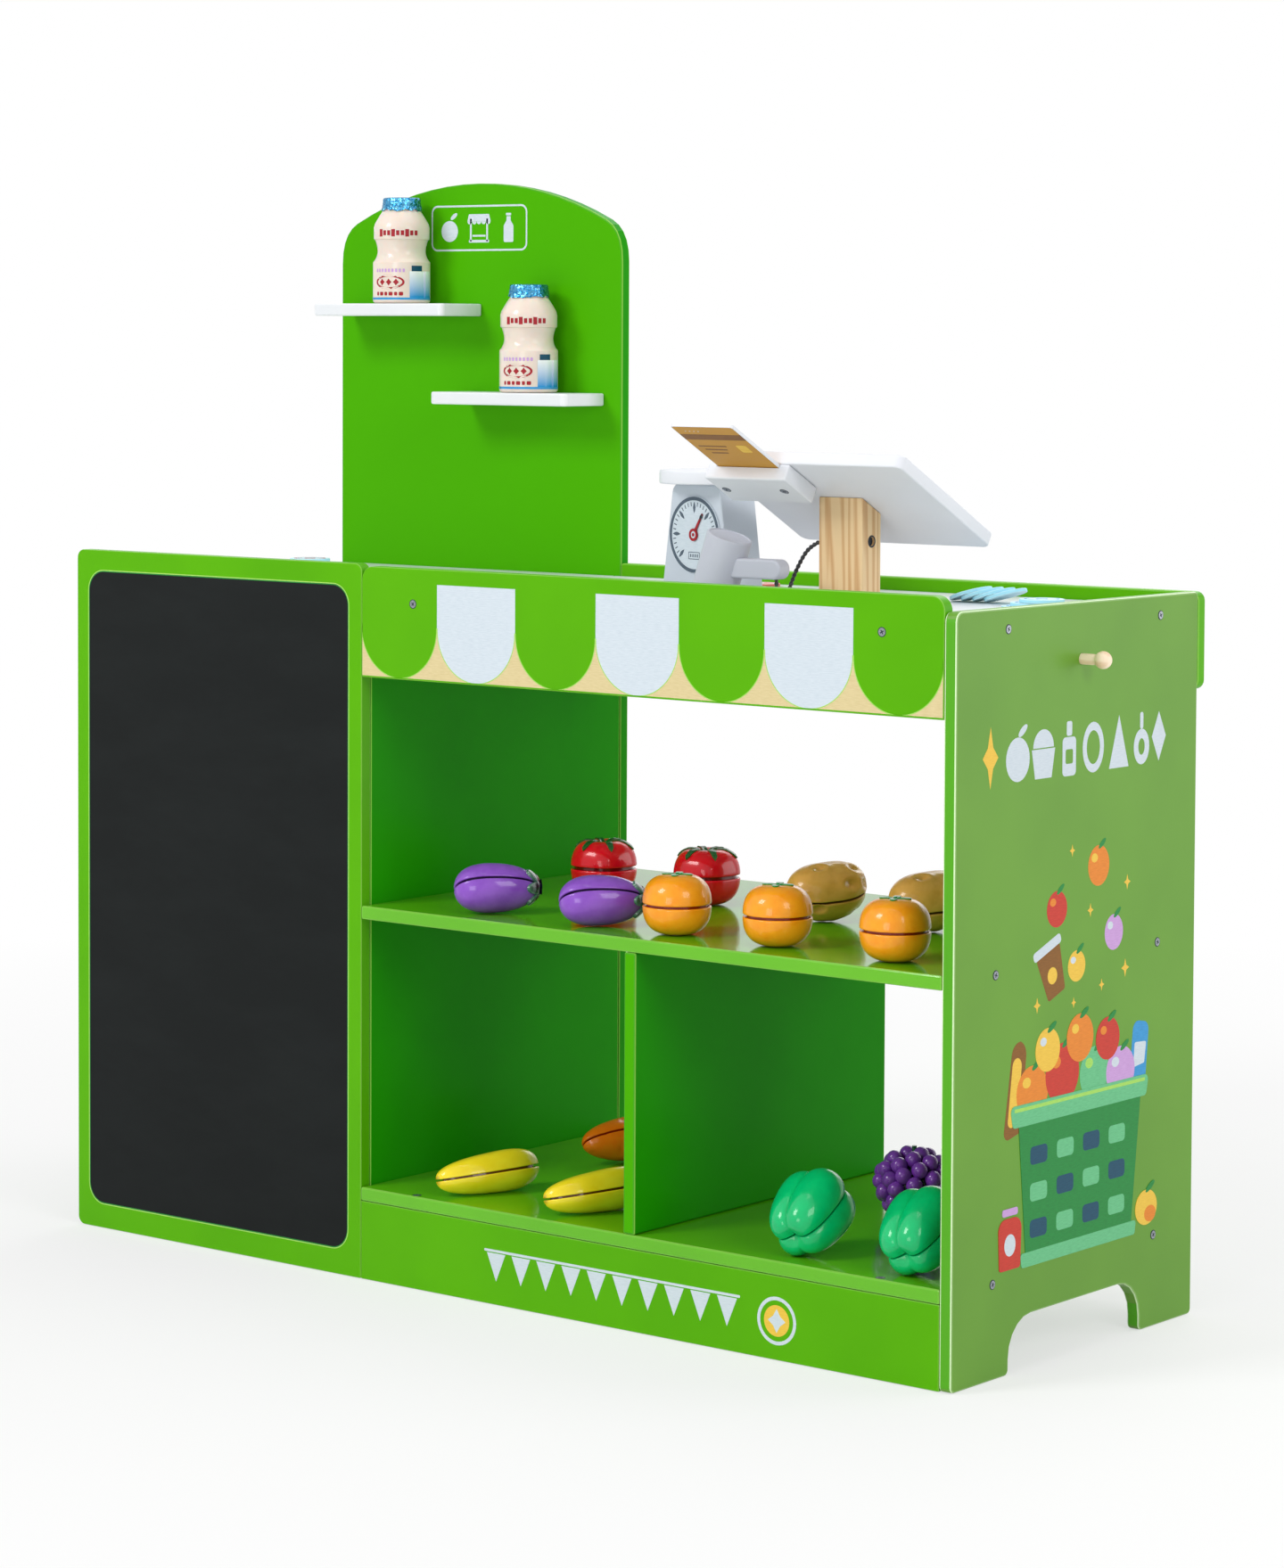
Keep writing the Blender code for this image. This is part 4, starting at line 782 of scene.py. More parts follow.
@dataclass
class Shape:
    """Points and faces of one piece while it is being made, with a finish for each face."""

    name: str
    finishes: list[Finish]
    points: list[Vector] = field(default_factory=list)
    faces: list[tuple[int, ...]] = field(default_factory=list)
    kinds: list[int] = field(default_factory=list)
    tints: list[float] = field(default_factory=list)

    def add(
        self, points: Iterable[Vector], faces: Iterable[tuple[int, ...]],
        place: Matrix | None = None, finish: Finish | None = None,
        tints: Sequence[float] | None = None,
    ) -> None:
        """Add points and the faces between them.

        Args:
            points: the new points.
            faces: faces as numbers into the new points.
            place: where the points go.
            finish: the faces' finish, or the piece's first.
            tints: how far each point takes the finish's tint.
        """
        base = len(self.points)
        points = [Vector(point) for point in points]
        self.points += [place @ point for point in points] if place else points
        self.tints += list(tints) if tints else [0.0] * len(points)
        finish = finish or self.finishes[0]
        if finish not in self.finishes:
            self.finishes.append(finish)
        for face in faces:
            self.faces.append(tuple(base + i for i in face))
            self.kinds.append(self.finishes.index(finish))

    def add_mesh(
        self, mesh: Mesh, place: Matrix | None = None, finish: Finish | None = None,
    ) -> None:
        """Add a mesh.

        Args:
            mesh: the mesh, which is used up.
            place: where it goes.
            finish: its faces' finish.
        """
        faces = [tuple(face.vertices) for face in mesh.polygons]
        self.add([vert.co.copy() for vert in mesh.vertices], faces, place, finish)
        bpy.data.meshes.remove(mesh)

    def grid(
        self, rings: Sequence[Sequence[Vector]], place: Matrix | None = None,
        finish: Finish | None = None, tints: Sequence[Sequence[float]] | None = None,
    ) -> None:
        """Join rings of equal length by quads. A ring of one point closes an end.

        Args:
            rings: the rings, from one end to the other.
            place: where they go.
            finish: the faces' finish.
            tints: one value for each point of each ring.
        """
        points: list[Vector] = []
        starts = []
        for ring in rings:
            starts.append(len(points))
            points += ring
        faces: list[tuple[int, ...]] = []
        for a, b, low, high in zip(rings, rings[1:], starts, starts[1:]):
            count = max(len(a), len(b))
            for i in range(count):
                j = (i + 1) % count
                if len(a) == 1:
                    faces.append((low, high + i, high + j))
                elif len(b) == 1:
                    faces.append((low + i, high, low + j))
                else:
                    faces.append((low + i, high + i, high + j, low + j))
        flat = [value for ring in tints for value in ring] if tints else None
        self.add(points, faces, place, finish, flat)

    def lathe(
        self, profile: Sequence[Point], sides: int, place: Matrix | None = None,
        finish: Finish | None = None, wobble: Callable[[float, float], float] | None = None,
    ) -> None:
        """Turn a (radius, height) profile about Z.

        Args:
            profile: it runs from axis to axis down the outer side.
            sides: how many steps make a full turn.
            place: where the result goes.
            finish: the faces' finish.
            wobble: a change of radius by angle and height.
        """
        rings = []
        for radius, height in profile:
            ring = []
            for angle in around(sides if radius > 0 else 1):
                reach = radius + (wobble(angle, height) if wobble and radius > 0 else 0.0)
                ring.append(Vector((reach * math.cos(angle), reach * math.sin(angle), height)))
            rings.append(ring)
        self.grid(rings, place, finish)

    def plate(
        self, outlines: Sequence[Outline], low: float, high: float, place: Matrix,
        finish: Finish | None = None,
    ) -> None:
        """Fill a flat outline and give it its thickness.

        Args:
            outlines: the outer outline, then any holes in it.
            low: the height of the underside in the outline's plane.
            high: the height of the top side.
            place: where the plane goes.
            finish: the faces' finish.
        """
        self.add_mesh(plate_mesh(self.name, outlines, low, high), place, finish)

    def finish_piece(
        self, body: str, replaces: Sequence[str] = (), slot: str | None = None,
        smooth_below: float = 35.0, edge: float = 0.0, edge_steps: int = 2,
        place: Matrix | None = None,
    ) -> bpy.types.Object:
        """Turn the shape into an object of the toy.

        Args:
            body: the CAD body that it rides on.
            replaces: the CAD nodes that it stands for.
            slot: the record's material slot; not used.
            smooth_below: edges flatter than this many degrees are shaded smooth.
            edge: how wide its sharp edges are eased.
            edge_steps: how many faces an eased edge has.
            place: where the object stands, if its points are local ones.

        Returns:
            The new object.
        """
        mesh = bpy.data.meshes.new(self.name)
        mesh.from_pydata([tuple(point) for point in self.points], [], self.faces)
        for finish in self.finishes:
            mesh.materials.append(finish.material())
        mesh.polygons.foreach_set("material_index", self.kinds)
        # The per-point value for painted groove shade and tints
        if any(self.tints):
            shade_and_tint = mesh.attributes.new("shade_and_tint", "FLOAT", "POINT")
            shade_and_tint.data.foreach_set("value", self.tints)
        shape = bmesh.new()
        shape.from_mesh(mesh)
        bmesh.ops.remove_doubles(shape, verts=shape.verts, dist=WELD)
        bmesh.ops.recalc_face_normals(shape, faces=shape.faces)
        shape.to_mesh(mesh)
        shape.free()
        mesh.shade_smooth()
        mesh.set_sharp_from_angle(angle=math.radians(smooth_below))
        piece = bpy.data.objects.new(self.name, mesh)
        if place is not None:
            piece.matrix_world = place
        show(piece)
        if edge:
            bevel = piece.modifiers.new("eased_edges", "BEVEL")
            bevel.width = edge
            bevel.segments = edge_steps
            bevel.limit_method = "ANGLE"
            bevel.angle_limit = math.radians(smooth_below)
            bevel.harden_normals = True
        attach(piece, body)
        if replaces:
            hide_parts(*replaces)
        LOG.info("%s: %d faces on %s", self.name, len(self.faces), body)
        return piece


def dress(node: str, finish: Finish, slot: str) -> None:
    """Give a CAD node that stays in view its finish.

    Args:
        node: the CAD node.
        finish: its finish.
        slot: the record's material slot; not used.
    """
    piece = frame["nodes"][node]
    piece.data.materials.clear()
    piece.data.materials.append(finish.material())
    LOG.info("%s: finished in %s", node, finish.name)


@dataclass
class Studio:
    """Camera, floor and soft lamps, at the angle and height of the picture."""

    position: Vector = field(default_factory=lambda: Vector((2.35687, -2.88278, 0.83921)))
    azimuth: float = 38.513
    elevation: float = 2.666
    roll: float = 0.289
    lens_mm: float = 95.80
    shift: Point = (-0.02656, -0.16272)
    floor_half: float = 9.0
    floor_drop: float = 0.0005
    ambient: float = 0.38
    # Each lamp's place, the point it is aimed at, the side of its square and its watts
    lamps: tuple[tuple[str, Place, Place, float, float], ...] = (
        ("key_lamp", (-1.6, -3.6, 3.2), (0.0, 0.0, 0.45), 1.5, 98.0),
        ("low_lamp", (0.9, -4.2, 0.8), (0.1, 0.0, 0.35), 1.4, 26.0),
        ("fill_lamp", (3.6, -1.2, 2.2), (0.1, 0.0, 0.45), 1.6, 38.0),
        ("top_lamp", (0.2, 0.4, 3.8), (0.0, 0.0, 0.5), 2.4, 34.0),
        ("back_lamp", (-0.8, 3.6, 2.4), (0.0, 0.0, 0.5), 2.4, 32.0),
        ("side_lamp", (3.0, 2.3, 1.3), (0.4, 0.0, 0.5), 2.0, 30.0),
    )

    def build(self) -> None:
        """Set up camera, floor, world and lamps."""
        bpy.context.scene.view_settings.view_transform = "Standard"
        self.place_camera()
        self.lay_floor()
        self.light_world()
        for name, place, target, size, power in self.lamps:
            data = bpy.data.lights.new(name, "AREA")
            data.shape = "SQUARE"
            data.size = size
            data.energy = power
            lamp = bpy.data.objects.new(name, data)
            lamp.location = place
            aim = Vector(target) - Vector(place)
            lamp.rotation_euler = aim.to_track_quat("-Z", "Y").to_euler()
            show(lamp)

    def place_camera(self) -> None:
        """Make the camera and aim it."""
        data = bpy.data.cameras.new("picture_camera")
        data.sensor_width = 36.0
        data.lens = self.lens_mm
        data.shift_x, data.shift_y = self.shift
        camera = bpy.data.objects.new("picture_camera", data)
        show(camera)
        turn, rise, roll = (math.radians(v) for v in (self.azimuth, self.elevation, self.roll))
        level = math.cos(rise)
        back = Vector((math.sin(turn) * level, -math.cos(turn) * level, math.sin(rise)))
        right = (-back).cross(Vector((0, 0, 1))).normalized()
        up = right.cross(-back)
        across = right * math.cos(roll) + up * math.sin(roll)
        upright = up * math.cos(roll) - right * math.sin(roll)
        pose = Matrix((across, upright, back)).transposed().to_4x4()
        pose.translation = self.position
        camera.matrix_world = pose
        bpy.context.scene.camera = camera

    def lay_floor(self) -> None:
        """Lay one wide card under the shop."""
        half = self.floor_half
        mesh = bpy.data.meshes.new("studio_floor")
        corners = [(-half, -half, 0.0), (half, -half, 0.0), (half, half, 0.0), (-half, half, 0.0)]
        mesh.from_pydata(corners, [], [(0, 1, 2, 3)])
        mesh.materials.append(STUDIO_CARD.material())
        floor = bpy.data.objects.new("studio_floor", mesh)
        floor.location.z = -self.floor_drop
        show(floor)

    def light_world(self) -> None:
        """White where rays see it directly, and dimmer as light on the toy."""
        world = bpy.data.worlds.new("studio_world")
        bpy.context.scene.world = world
        world.use_nodes = True
        tree = world.node_tree
        ends = {"To Min": self.ambient, "To Max": 1.0}
        shade = add_node(tree, "MapRange", ends, {"Value": seen_directly(tree)})["Result"]
        sky = tree.nodes["Background"]
        sky.inputs["Color"].default_value = (1.0, 1.0, 1.0, 1.0)
        tree.links.new(shade, sky.inputs["Strength"])


@dataclass
class Tether:
    """The two-strand rope from the scanner's handle, round on the counter, to the post.

    Its points repeat the CAD route. The stretch near the scanner is a piece of its own, and
    both are one rope where they meet.
    """

    diameter: float = 0.004
    strand: float = 0.00128
    spacing: float = 0.0012
    twist_pitch: float = 0.0085
    strand_sides: int = 8
    split: int = 7
    route: tuple[Place, ...] = (
        (0.2161, -0.0660, 0.6315), (0.2161, -0.0660, 0.6265), (0.2136, -0.0670, 0.6198),
        (0.2061, -0.0710, 0.6138), (0.1941, -0.0800, 0.6123), (0.1861, -0.0980, 0.6123),
        (0.1911, -0.1180, 0.6123), (0.2121, -0.1280, 0.6123), (0.2341, -0.1200, 0.6123),
        (0.2441, -0.1000, 0.6123), (0.2381, -0.0760, 0.6123), (0.2221, -0.0540, 0.6123),
        (0.2061, -0.0360, 0.6138), (0.1961, -0.0200, 0.6223), (0.1961, -0.0100, 0.6383),
        (0.2041, -0.0060, 0.6540), (0.2181, -0.0060, 0.6625), (0.2261, -0.0060, 0.6640),
        (0.2381, -0.0060, 0.6640), (0.2621, -0.0060, 0.6640),
    )

    def build(self) -> None:
        """Make both stretches of the rope and log how long the rope is."""
        smooth, marks = self.smooth([Vector(point) for point in self.route])
        scanner_end, post_end = smooth[: marks[self.split] + 1], smooth[marks[self.split] :]
        rope = self.twist("tether_rope_post_end", post_end, self.along(scanner_end))
        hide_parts("tether_rope")
        self.along(post_end)
        end = self.twist("tether_rope_scanner_end", scanner_end, 0.0)
        end.parent = None
        del end["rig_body"]
        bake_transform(end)
        self.along(scanner_end)
        total = self.along(smooth)
        LOG.info("tether: %.3f m of rope, %.3f m of it to the post", total, self.along(post_end))

    def along(self, points: Sequence[Vector]) -> float:
        """The length of a line of points."""
        return sum((b - a).length for a, b in zip(points, points[1:]))

    def smooth(self, points: list[Vector]) -> tuple[list[Vector], list[int]]:
        """Draw a smooth line through the points.

        Args:
            points: the points that the rope passes.

        Returns:
            The dense line, and which of its points each given one is.
        """
        ends = [points[0] * 2 - points[1]] + points + [points[-1] * 2 - points[-2]]
        line: list[Vector] = []
        marks: list[int] = []
        for a, b, c, d in zip(ends, ends[1:], ends[2:], ends[3:]):
            marks.append(len(line))
            steps = max(2, round((c - b).length / self.spacing))
            for step in range(steps):
                t = step / steps
                bend = (a * 2 - b * 5 + c * 4 - d) * t * t + (b * 3 - a - c * 3 + d) * t**3
                line.append((b * 2 + (c - a) * t + bend) / 2)
        marks.append(len(line))
        line.append(points[-1])
        return line, marks

    def twist(self, name: str, line: list[Vector], before: float) -> bpy.types.Object:
        """Wind two strands about a line.

        Args:
            name: the piece's name.
            line: the middle of the rope.
            before: how much rope lies before the line, so that the twist runs on.

        Returns:
            The rope as one mesh.
        """
        strand = self.strand
        offset = self.diameter / 2 - strand
        rope = Shape(name, [ROPE_BLACK])
        gone = before
        strands: tuple[list[list[Vector]], list[list[Vector]]] = ([], [])
        side = Vector((1.0, 0.0, 0.0))
        for i, here in enumerate(line):
            forward = (line[min(i + 1, len(line) - 1)] - line[max(i - 1, 0)]).normalized()
            side = (side - forward * side.dot(forward)).normalized()
            up = forward.cross(side)
            if i:
                gone += (here - line[i - 1]).length
            for k, rings in enumerate(strands):
                angle = math.tau * gone / self.twist_pitch + math.pi * k
                middle = here + (side * math.cos(angle) + up * math.sin(angle)) * offset
                rings.append(
                    [
                        middle + (side * math.cos(turn) + up * math.sin(turn)) * strand
                        for turn in around(self.strand_sides)
                    ]
                )
        for rings in strands:
            first, last = ([sum(r, Vector()) / self.strand_sides] for r in (rings[0], rings[-1]))
            rope.grid([first, *rings, last])
        return rope.finish_piece(CABINET, slot="black_rope", smooth_below=80)


class Shade(Enum):
    """Which lacquer a board of the cabinet has, painted shade and painted sheen included."""

    WALL = GREEN_LACQUER
    SHADED_INNER = SHADED_INNER_LACQUER
    SHELF = SHELF_LACQUER
    SIDE = SIDE_LACQUER_PAINTED_SHEEN
    WHITE = WHITE_LACQUER

    def slot(self) -> str:
        """The record's slot of the lacquer."""
        return "white_paint" if self is Shade.WHITE else "green_paint"


@dataclass
class Cabinet:
    """The boards of the counter. Plain ones keep their CAD mesh, printed ones are cut anew.

    A printed board lies an ink's thickness behind its CAD face, so that the ink on it ends
    at the CAD face.
    """

    panel_height: float = 0.636
    valance_low: float = 0.536
    valance_top: float = 0.634
    plinth_height: float = 0.070
    chalk_margin_side: float = 0.0165
    chalk_low: float = 0.024
    chalk_high: float = 0.616
    plain: tuple[tuple[Shade, tuple[str, ...]], ...] = (
        # Boards inside the bays take the green darkened as painted shade
        (Shade.SHADED_INNER, ("module_divider", "middle_divider", "tall_back_panel")),
        (Shade.SHELF, ("mid_shelf", "bottom_shelf", "left_mid_shelf", "left_bottom_board")),
        (Shade.WHITE, ("left_counter_top", "counter_top", "wall_shelf_upper", "wall_shelf_lower")),
        (Shade.SIDE, ("right_side_panel",)),
        (Shade.WALL, ("back_rail",)),
    )

    def build(self) -> None:
        """Dress the plain boards and cut the printed ones."""
        for shade, nodes in self.plain:
            for node in nodes:
                dress(node, shade.value, shade.slot())
        left, right = BAY_WALL + FIT, SIDE_PANEL_IN - FIT
        self.front_board("chalkboard_panel", LEFT, BAY_WALL, 0.0, self.panel_height, 0.008, 0.002)
        self.front_board("valance", left, right, self.valance_low, self.valance_top, 0.012)
        self.front_board("plinth", left, right, 0.0, self.plinth_height - FIT, 0.0)
        self.chalkboard()

    def front_board(
        self, name: str, left: float, right: float, low: float, high: float, corner: float,
        foot: float | None = None,
    ) -> None:
        """Cut one board of the front, an ink's thickness behind its CAD face.

        Args:
            name: its CAD node.
            left: its left end.
            right: its right end.
            low: its underside.
            high: its top.
            corner: the radius of its top corners.
            foot: the radius of its right foot. The left foot then has the corners' radius.
        """
        feet = (0.0, 0.0) if foot is None else (corner, foot)
        corners = [(left, low, feet[0]), (right, low, feet[1]), (right, high, corner)]
        board = Shape(name + "_board", [GREEN_LACQUER])
        plane = at(0, FRONT + BOARD, 0) @ FACING_FRONT
        board.plate([rounded(corners + [(left, high, corner)])], 0.0, BOARD - INK, plane)
        board.finish_piece(CABINET, [name], "green_paint", edge=0.0009)

    def chalkboard(self) -> None:
        """The black field in its shallow groove, with a pale line of painted highlight and a deep
        green line of painted shade round it.
        """
        x, z = (LEFT + BAY_WALL) / 2, (self.chalk_low + self.chalk_high) / 2
        width = BAY_WALL - LEFT - self.chalk_margin_side * 2
        height = self.chalk_high - self.chalk_low
        plane = at(0, FRONT, 0) @ FACING_FRONT
        inner, middle, outer = (
            rectangle(x, z, width + wider, height + wider, 0.018 + wider / 2, 10)
            for wider in (0.0, 0.0018, 0.0036)
        )
        board = Shape("blackboard_field", [CHALK_PAINT])
        board.plate([inner], -0.0012, 0.0, plane)
        board.finish_piece(CABINET, ["chalkboard"], "chalk_black", edge=0.0004)
        # Painted light in the groove: a pale highlight band outside, a deep green band of painted
        # shade inside
        rim = Shape("blackboard_groove_painted_light", [GREEN_LACQUER])
        rim.plate([outer, middle], -0.0006, -0.00005, plane, INK_LIME)
        rim.plate([middle, inner], -0.0006, -0.00015, plane, INK_DEEP_GREEN)
        rim.finish_piece(CABINET, slot="green_paint")


@dataclass
class Prints:
    """Ink on the boards: the awning, generic pictograms and a crate of produce.

    Each motif lies in a layer, so that later inks cover earlier ones.
    """

    layer: float = 0.00003
    scallops: int = 7
    scallop_pitch: float = 0.0895
    scallop_top: float = 0.621
    scallop_middle: float = 0.5815
    scallop_low: float = 0.5377
    line_width: float = 0.0008

    def build(self) -> None:
        """Print the awning, the sign, the side picture and the plinth."""
        self.awning()
        self.sign()
        self.side_icons()
        self.side_picture()
        self.plinth()

    def awning(self) -> None:
        """Scallops across the valance, every second one white."""
        ink = Shape("awning_print", [INK_WHITE])
        put = partial(ink.plate, low=-INK - SUNK, place=at(0, FRONT, 0) @ FACING_FRONT)
        pitch, middle, low = self.scallop_pitch, self.scallop_middle, self.scallop_low
        radius, start = pitch / 2, BAY_WALL - 0.0002
        left, right = BAY_WALL + 0.0012, SIDE_PANEL_IN - 0.0012

        def inside(points: Outline) -> list[Point]:
            """Keep an outline on the board's flat face."""
            return [(min(max(x, left), right), max(z, low)) for x, z in points]

        for i in range(self.scallops + 1):
            edge = start + pitch * i
            before = arc((edge - radius, middle), radius, 270, 360, 14)
            after = arc((edge + radius, middle), radius, 180, 270, 14)
            notch = inside((before if i else []) + (after if i < self.scallops else []))
            if i in (0, self.scallops):
                notch.append((right if i else left, low))
            put([notch], high=-INK + 0.00008, finish=INK_TAN)
        for i in range(self.scallops):
            x = start + pitch * (i + 0.5)
            if i % 2:
                scallop = [(px, max(z, low)) for px, z in arc((x, middle), radius, 180, 360, 32)]
                scallop += [(x + radius, self.scallop_top), (x - radius, self.scallop_top)]
                put([scallop], high=-0.00006)
            line = arc((x, middle), radius, 178, 362, 40)
            line += arc((x, middle), radius - self.line_width, 362, 178, 40)
            put([inside(line)], high=-0.00002, finish=INK_LIME)
        ink.finish_piece(CABINET, slot="white_paint")

    def sign(self) -> None:
        """A line frame high on the tall panel, with a stall between produce and a bottle."""
        ink = Shape("tall_panel_sign", [INK_WHITE])
        plane = at(0, BACK + FIT, 0) @ FACING_FRONT
        put = partial(ink.plate, low=-SUNK, high=0.00008, place=plane)
        x, z = LEFT + 0.1818, 0.9417
        put([rectangle(x, z, 0.1236, 0.0446, 0.0075), rectangle(x, z, 0.1200, 0.0410, 0.0060)])
        put([rectangle(x, z - 0.0128, 0.026, 0.0026, 0.0008)])
        for side in (-1, 1):
            put([rectangle(x + side * 0.0105, z - 0.002, 0.0022, 0.022)])
        roof = [(-0.013, 0.0135), (0.013, 0.0135), (0.015, 0.0065), (-0.015, 0.0065)]
        put([moved(roof, x, z)])
        for i in range(5):
            put([arc((x - 0.012 + 0.006 * i, z + 0.0064), 0.0028, 180, 360, 10)])
        put([rectangle(x, z - 0.0075, 0.0170, 0.0018, 0.0008)])
        left, right = x - 0.038, x + 0.038
        put([ellipse(left, z - 0.003, 0.0215, 0.0205)])
        put([moved(ellipse(0, 0, 0.010, 0.0042), left + 0.0055, z + 0.0115, 35)])
        half = (
            (0.0062, -0.0140, 0.0016), (0.0062, 0.0020, 0.0030), (0.0026, 0.0070, 0.0014),
            (0.0026, 0.0110, 0.0),
        )
        bottle = [(right + wide, z + high, corner) for wide, high, corner in half]
        bottle += [(right - wide, z + high, corner) for wide, high, corner in reversed(half)]
        put([rounded(bottle[-1:] + bottle[:-1])])
        put([rectangle(right, z + 0.0130, 0.0066, 0.0024, 0.0008)])
        ink.finish_piece(CABINET, slot="white_paint")

    def on_side(self, ink: Shape, layer: int, finish: Finish, *outlines: Outline) -> None:
        """Print on the right panel.

        Args:
            ink: the print so far.
            layer: how many layers lie under this one.
            finish: the ink.
            outlines: the motif, in millimetres from the panel's front foot.
        """
        plane = at(RIGHT, 0, 0) @ FACING_SIDE
        scaled = [[(FRONT + y / 1000, z / 1000) for y, z in outline] for outline in outlines]
        ink.plate(scaled, -SUNK, 0.00004 + self.layer * layer, plane, finish)

    def side_icons(self) -> None:
        """A row of plain white pictograms where a word might stand."""
        ink = Shape("side_panel_icons", [INK_WHITE])
        put = partial(self.on_side, ink, 1, INK_WHITE)
        z = 503.0
        self.on_side(ink, 1, INK_YELLOW, diamond(48, z, 22, 50, 0.34))
        put(ellipse(87, z - 4, 34, 36))
        put(moved(ellipse(0, 0, 15, 6), 94, z + 19, 35))
        put([(112, z - 22), (136, z - 22), (141, z + 2), (107, z + 2)])
        put(arc((124, z + 3), 15, 0, 180, 18))
        put(rectangle(162, z - 7, 20, 32, 4), rectangle(162, z - 7, 11, 12, 2))
        put(rectangle(162, z + 16, 8, 12, 2))
        put(ellipse(198, z - 2, 32, 42), ellipse(198, z - 2, 20, 28))
        put([(222, z - 22), (252, z - 22), (237, z + 22)])
        put(ellipse(272, z - 7, 24, 30), ellipse(272, z - 7, 10, 14))
        put(rectangle(272, z + 15, 5, 14, 2))
        put(diamond(299, z, 22, 42, 0.5))
        ink.finish_piece(CABINET, slot="white_paint")

    def side_picture(self) -> None:
        """A slatted crate of round produce with a few things falling into it."""
        ink = Shape("side_panel_picture", [INK_DEEP_GREEN])
        put = partial(self.on_side, ink)
        put(1, INK_BROWN, rounded([(70, 190, 6), (96, 196, 6), (104, 268, 12), (84, 272, 12)]))
        put(2, INK_YELLOW, rounded([(76, 200, 5), (91, 203, 5), (97, 256, 7), (84, 258, 7)]))
        put(1, INK_BLUE, rounded([(256, 200, 3), (282, 204, 3), (288, 262, 8), (264, 266, 8)]))
        put(2, INK_WHITE, rounded([(264, 226, 2), (281, 228, 2), (284, 246, 2), (266, 247, 2)]))
        produce = (
            (112, 226, 46, 44, INK_ORANGE, INK_YELLOW), (156, 236, 50, 50, INK_RED, INK_ORANGE),
            (204, 230, 44, 44, INK_MINT, INK_LIME), (244, 226, 44, 42, INK_LILAC, INK_WHITE),
            (134, 258, 36, 36, INK_YELLOW, INK_WHITE), (182, 262, 40, 40, INK_ORANGE, INK_YELLOW),
            (224, 256, 36, 36, INK_RED, INK_ORANGE),
        )
        for i, (y, z, width, height, skin, glow) in enumerate(produce):
            put(3 + i, skin, ellipse(y, z, width, height))
            shine = ellipse(y - width * 0.18, z + height * 0.2, width * 0.26, height * 0.2)
            put(4 + i, glow, shine)
            put(4 + i, INK_DEEP_GREEN, moved(ellipse(0, 0, 15, 5), y + 6, z + height / 2, 30))
        put(12, INK_DEEP_GREEN, [(104, 92), (262, 92), (276, 206), (92, 206)])
        for row in range(3):
            for column in range(4):
                slat = rectangle(122 + column * 39, 114 + row * 30, 25, 15, 4)
                put(13, (INK_NAVY, INK_MINT)[(row + column) % 2], slat)
        put(14, INK_MINT, rounded([(84, 200, 4), (284, 200, 4), (288, 218, 5), (80, 218, 5)]))
        put(15, INK_LIME, rectangle(184, 214, 196, 3, 1))
        put(14, INK_MINT, rounded([(98, 84, 3), (268, 84, 3), (270, 96, 3), (96, 96, 3)]))
        put(13, INK_RED, rounded([(66, 86, 3), (96, 86, 3), (98, 128, 10), (64, 128, 10)]))
        put(14, INK_WHITE, ellipse(81, 106, 16, 18))
        put(14, INK_LILAC, rectangle(81, 133, 22, 6, 2))
        put(13, INK_YELLOW, ellipse(286, 104, 34, 30))
        put(14, INK_ORANGE, ellipse(292, 98, 18, 14))
        put(14, INK_DEEP_GREEN, moved(ellipse(0, 0, 16, 5), 292, 121, 30))
        falling = (
            (208, 402, 32, 34, INK_ORANGE, INK_YELLOW), (146, 372, 30, 30, INK_RED, INK_ORANGE),
            (232, 344, 28, 30, INK_LILAC, INK_WHITE), (176, 322, 26, 26, INK_YELLOW, INK_WHITE),
        )
        for y, z, width, height, skin, glow in falling:
            put(1, skin, ellipse(y, z, width, height))
            put(2, glow, ellipse(y - width * 0.2, z + height * 0.2, width * 0.3, height * 0.22))
            put(3, INK_DEEP_GREEN, moved(ellipse(0, 0, 13, 4.5), y + 5, z + height / 2 + 1, 35))
        cup = rounded([(-13, -20, 3), (13, -20, 3), (18, 20, 3), (-18, 20, 3)])
        put(1, INK_BROWN, moved(cup, 140, 320, 20))
        put(2, INK_WHITE, moved(rectangle(0, 23, 42, 8, 3), 140, 320, 20))
        put(2, INK_YELLOW, moved(ellipse(0, 0, 14), 140, 318, 20))
        sparkles = (
            (168, 418, 8), (252, 384, 10), (196, 366, 9), (118, 296, 10), (214, 302, 8),
            (250, 312, 12), (172, 292, 7),
        )
        for y, z, size in sparkles:
            put(1, INK_YELLOW, diamond(y, z, size, size * 1.3))
        ink.finish_piece(CABINET, slot="green_paint")

    def plinth(self) -> None:
        """A line of pennants and a round seal on the plinth."""
        ink = Shape("plinth_print", [INK_WHITE])
        put = partial(ink.plate, low=-INK - SUNK, place=at(0, FRONT, 0) @ FACING_FRONT)
        put([rectangle(LEFT + 0.648, 0.0470, 0.280, 0.0022, 0.001)], high=-0.00008)
        for i in range(10):
            x = LEFT + 0.5215 + 0.0281 * i
            put([[(x - 0.0105, 0.0450), (x, 0.0205), (x + 0.0105, 0.0450)]], high=-0.00008)
        x, z = LEFT + 0.826, 0.0326
        put([ellipse(x, z, size, steps=40) for size in (0.040, 0.034)], high=-0.00008)
        put([ellipse(x, z, 0.026, steps=32)], high=-0.00005, finish=INK_YELLOW)
        put([diamond(x, z, 0.018, 0.020, 0.4)], high=-0.00003)
        ink.finish_piece(CABINET, slot="white_paint")


class Drive(Enum):
    """Which plane a group of screws is driven into."""

    FRONT = "front"
    SIDE = "side"
    BACK = "back"
    READER = "reader"
    SHELF = "bottom_shelf"


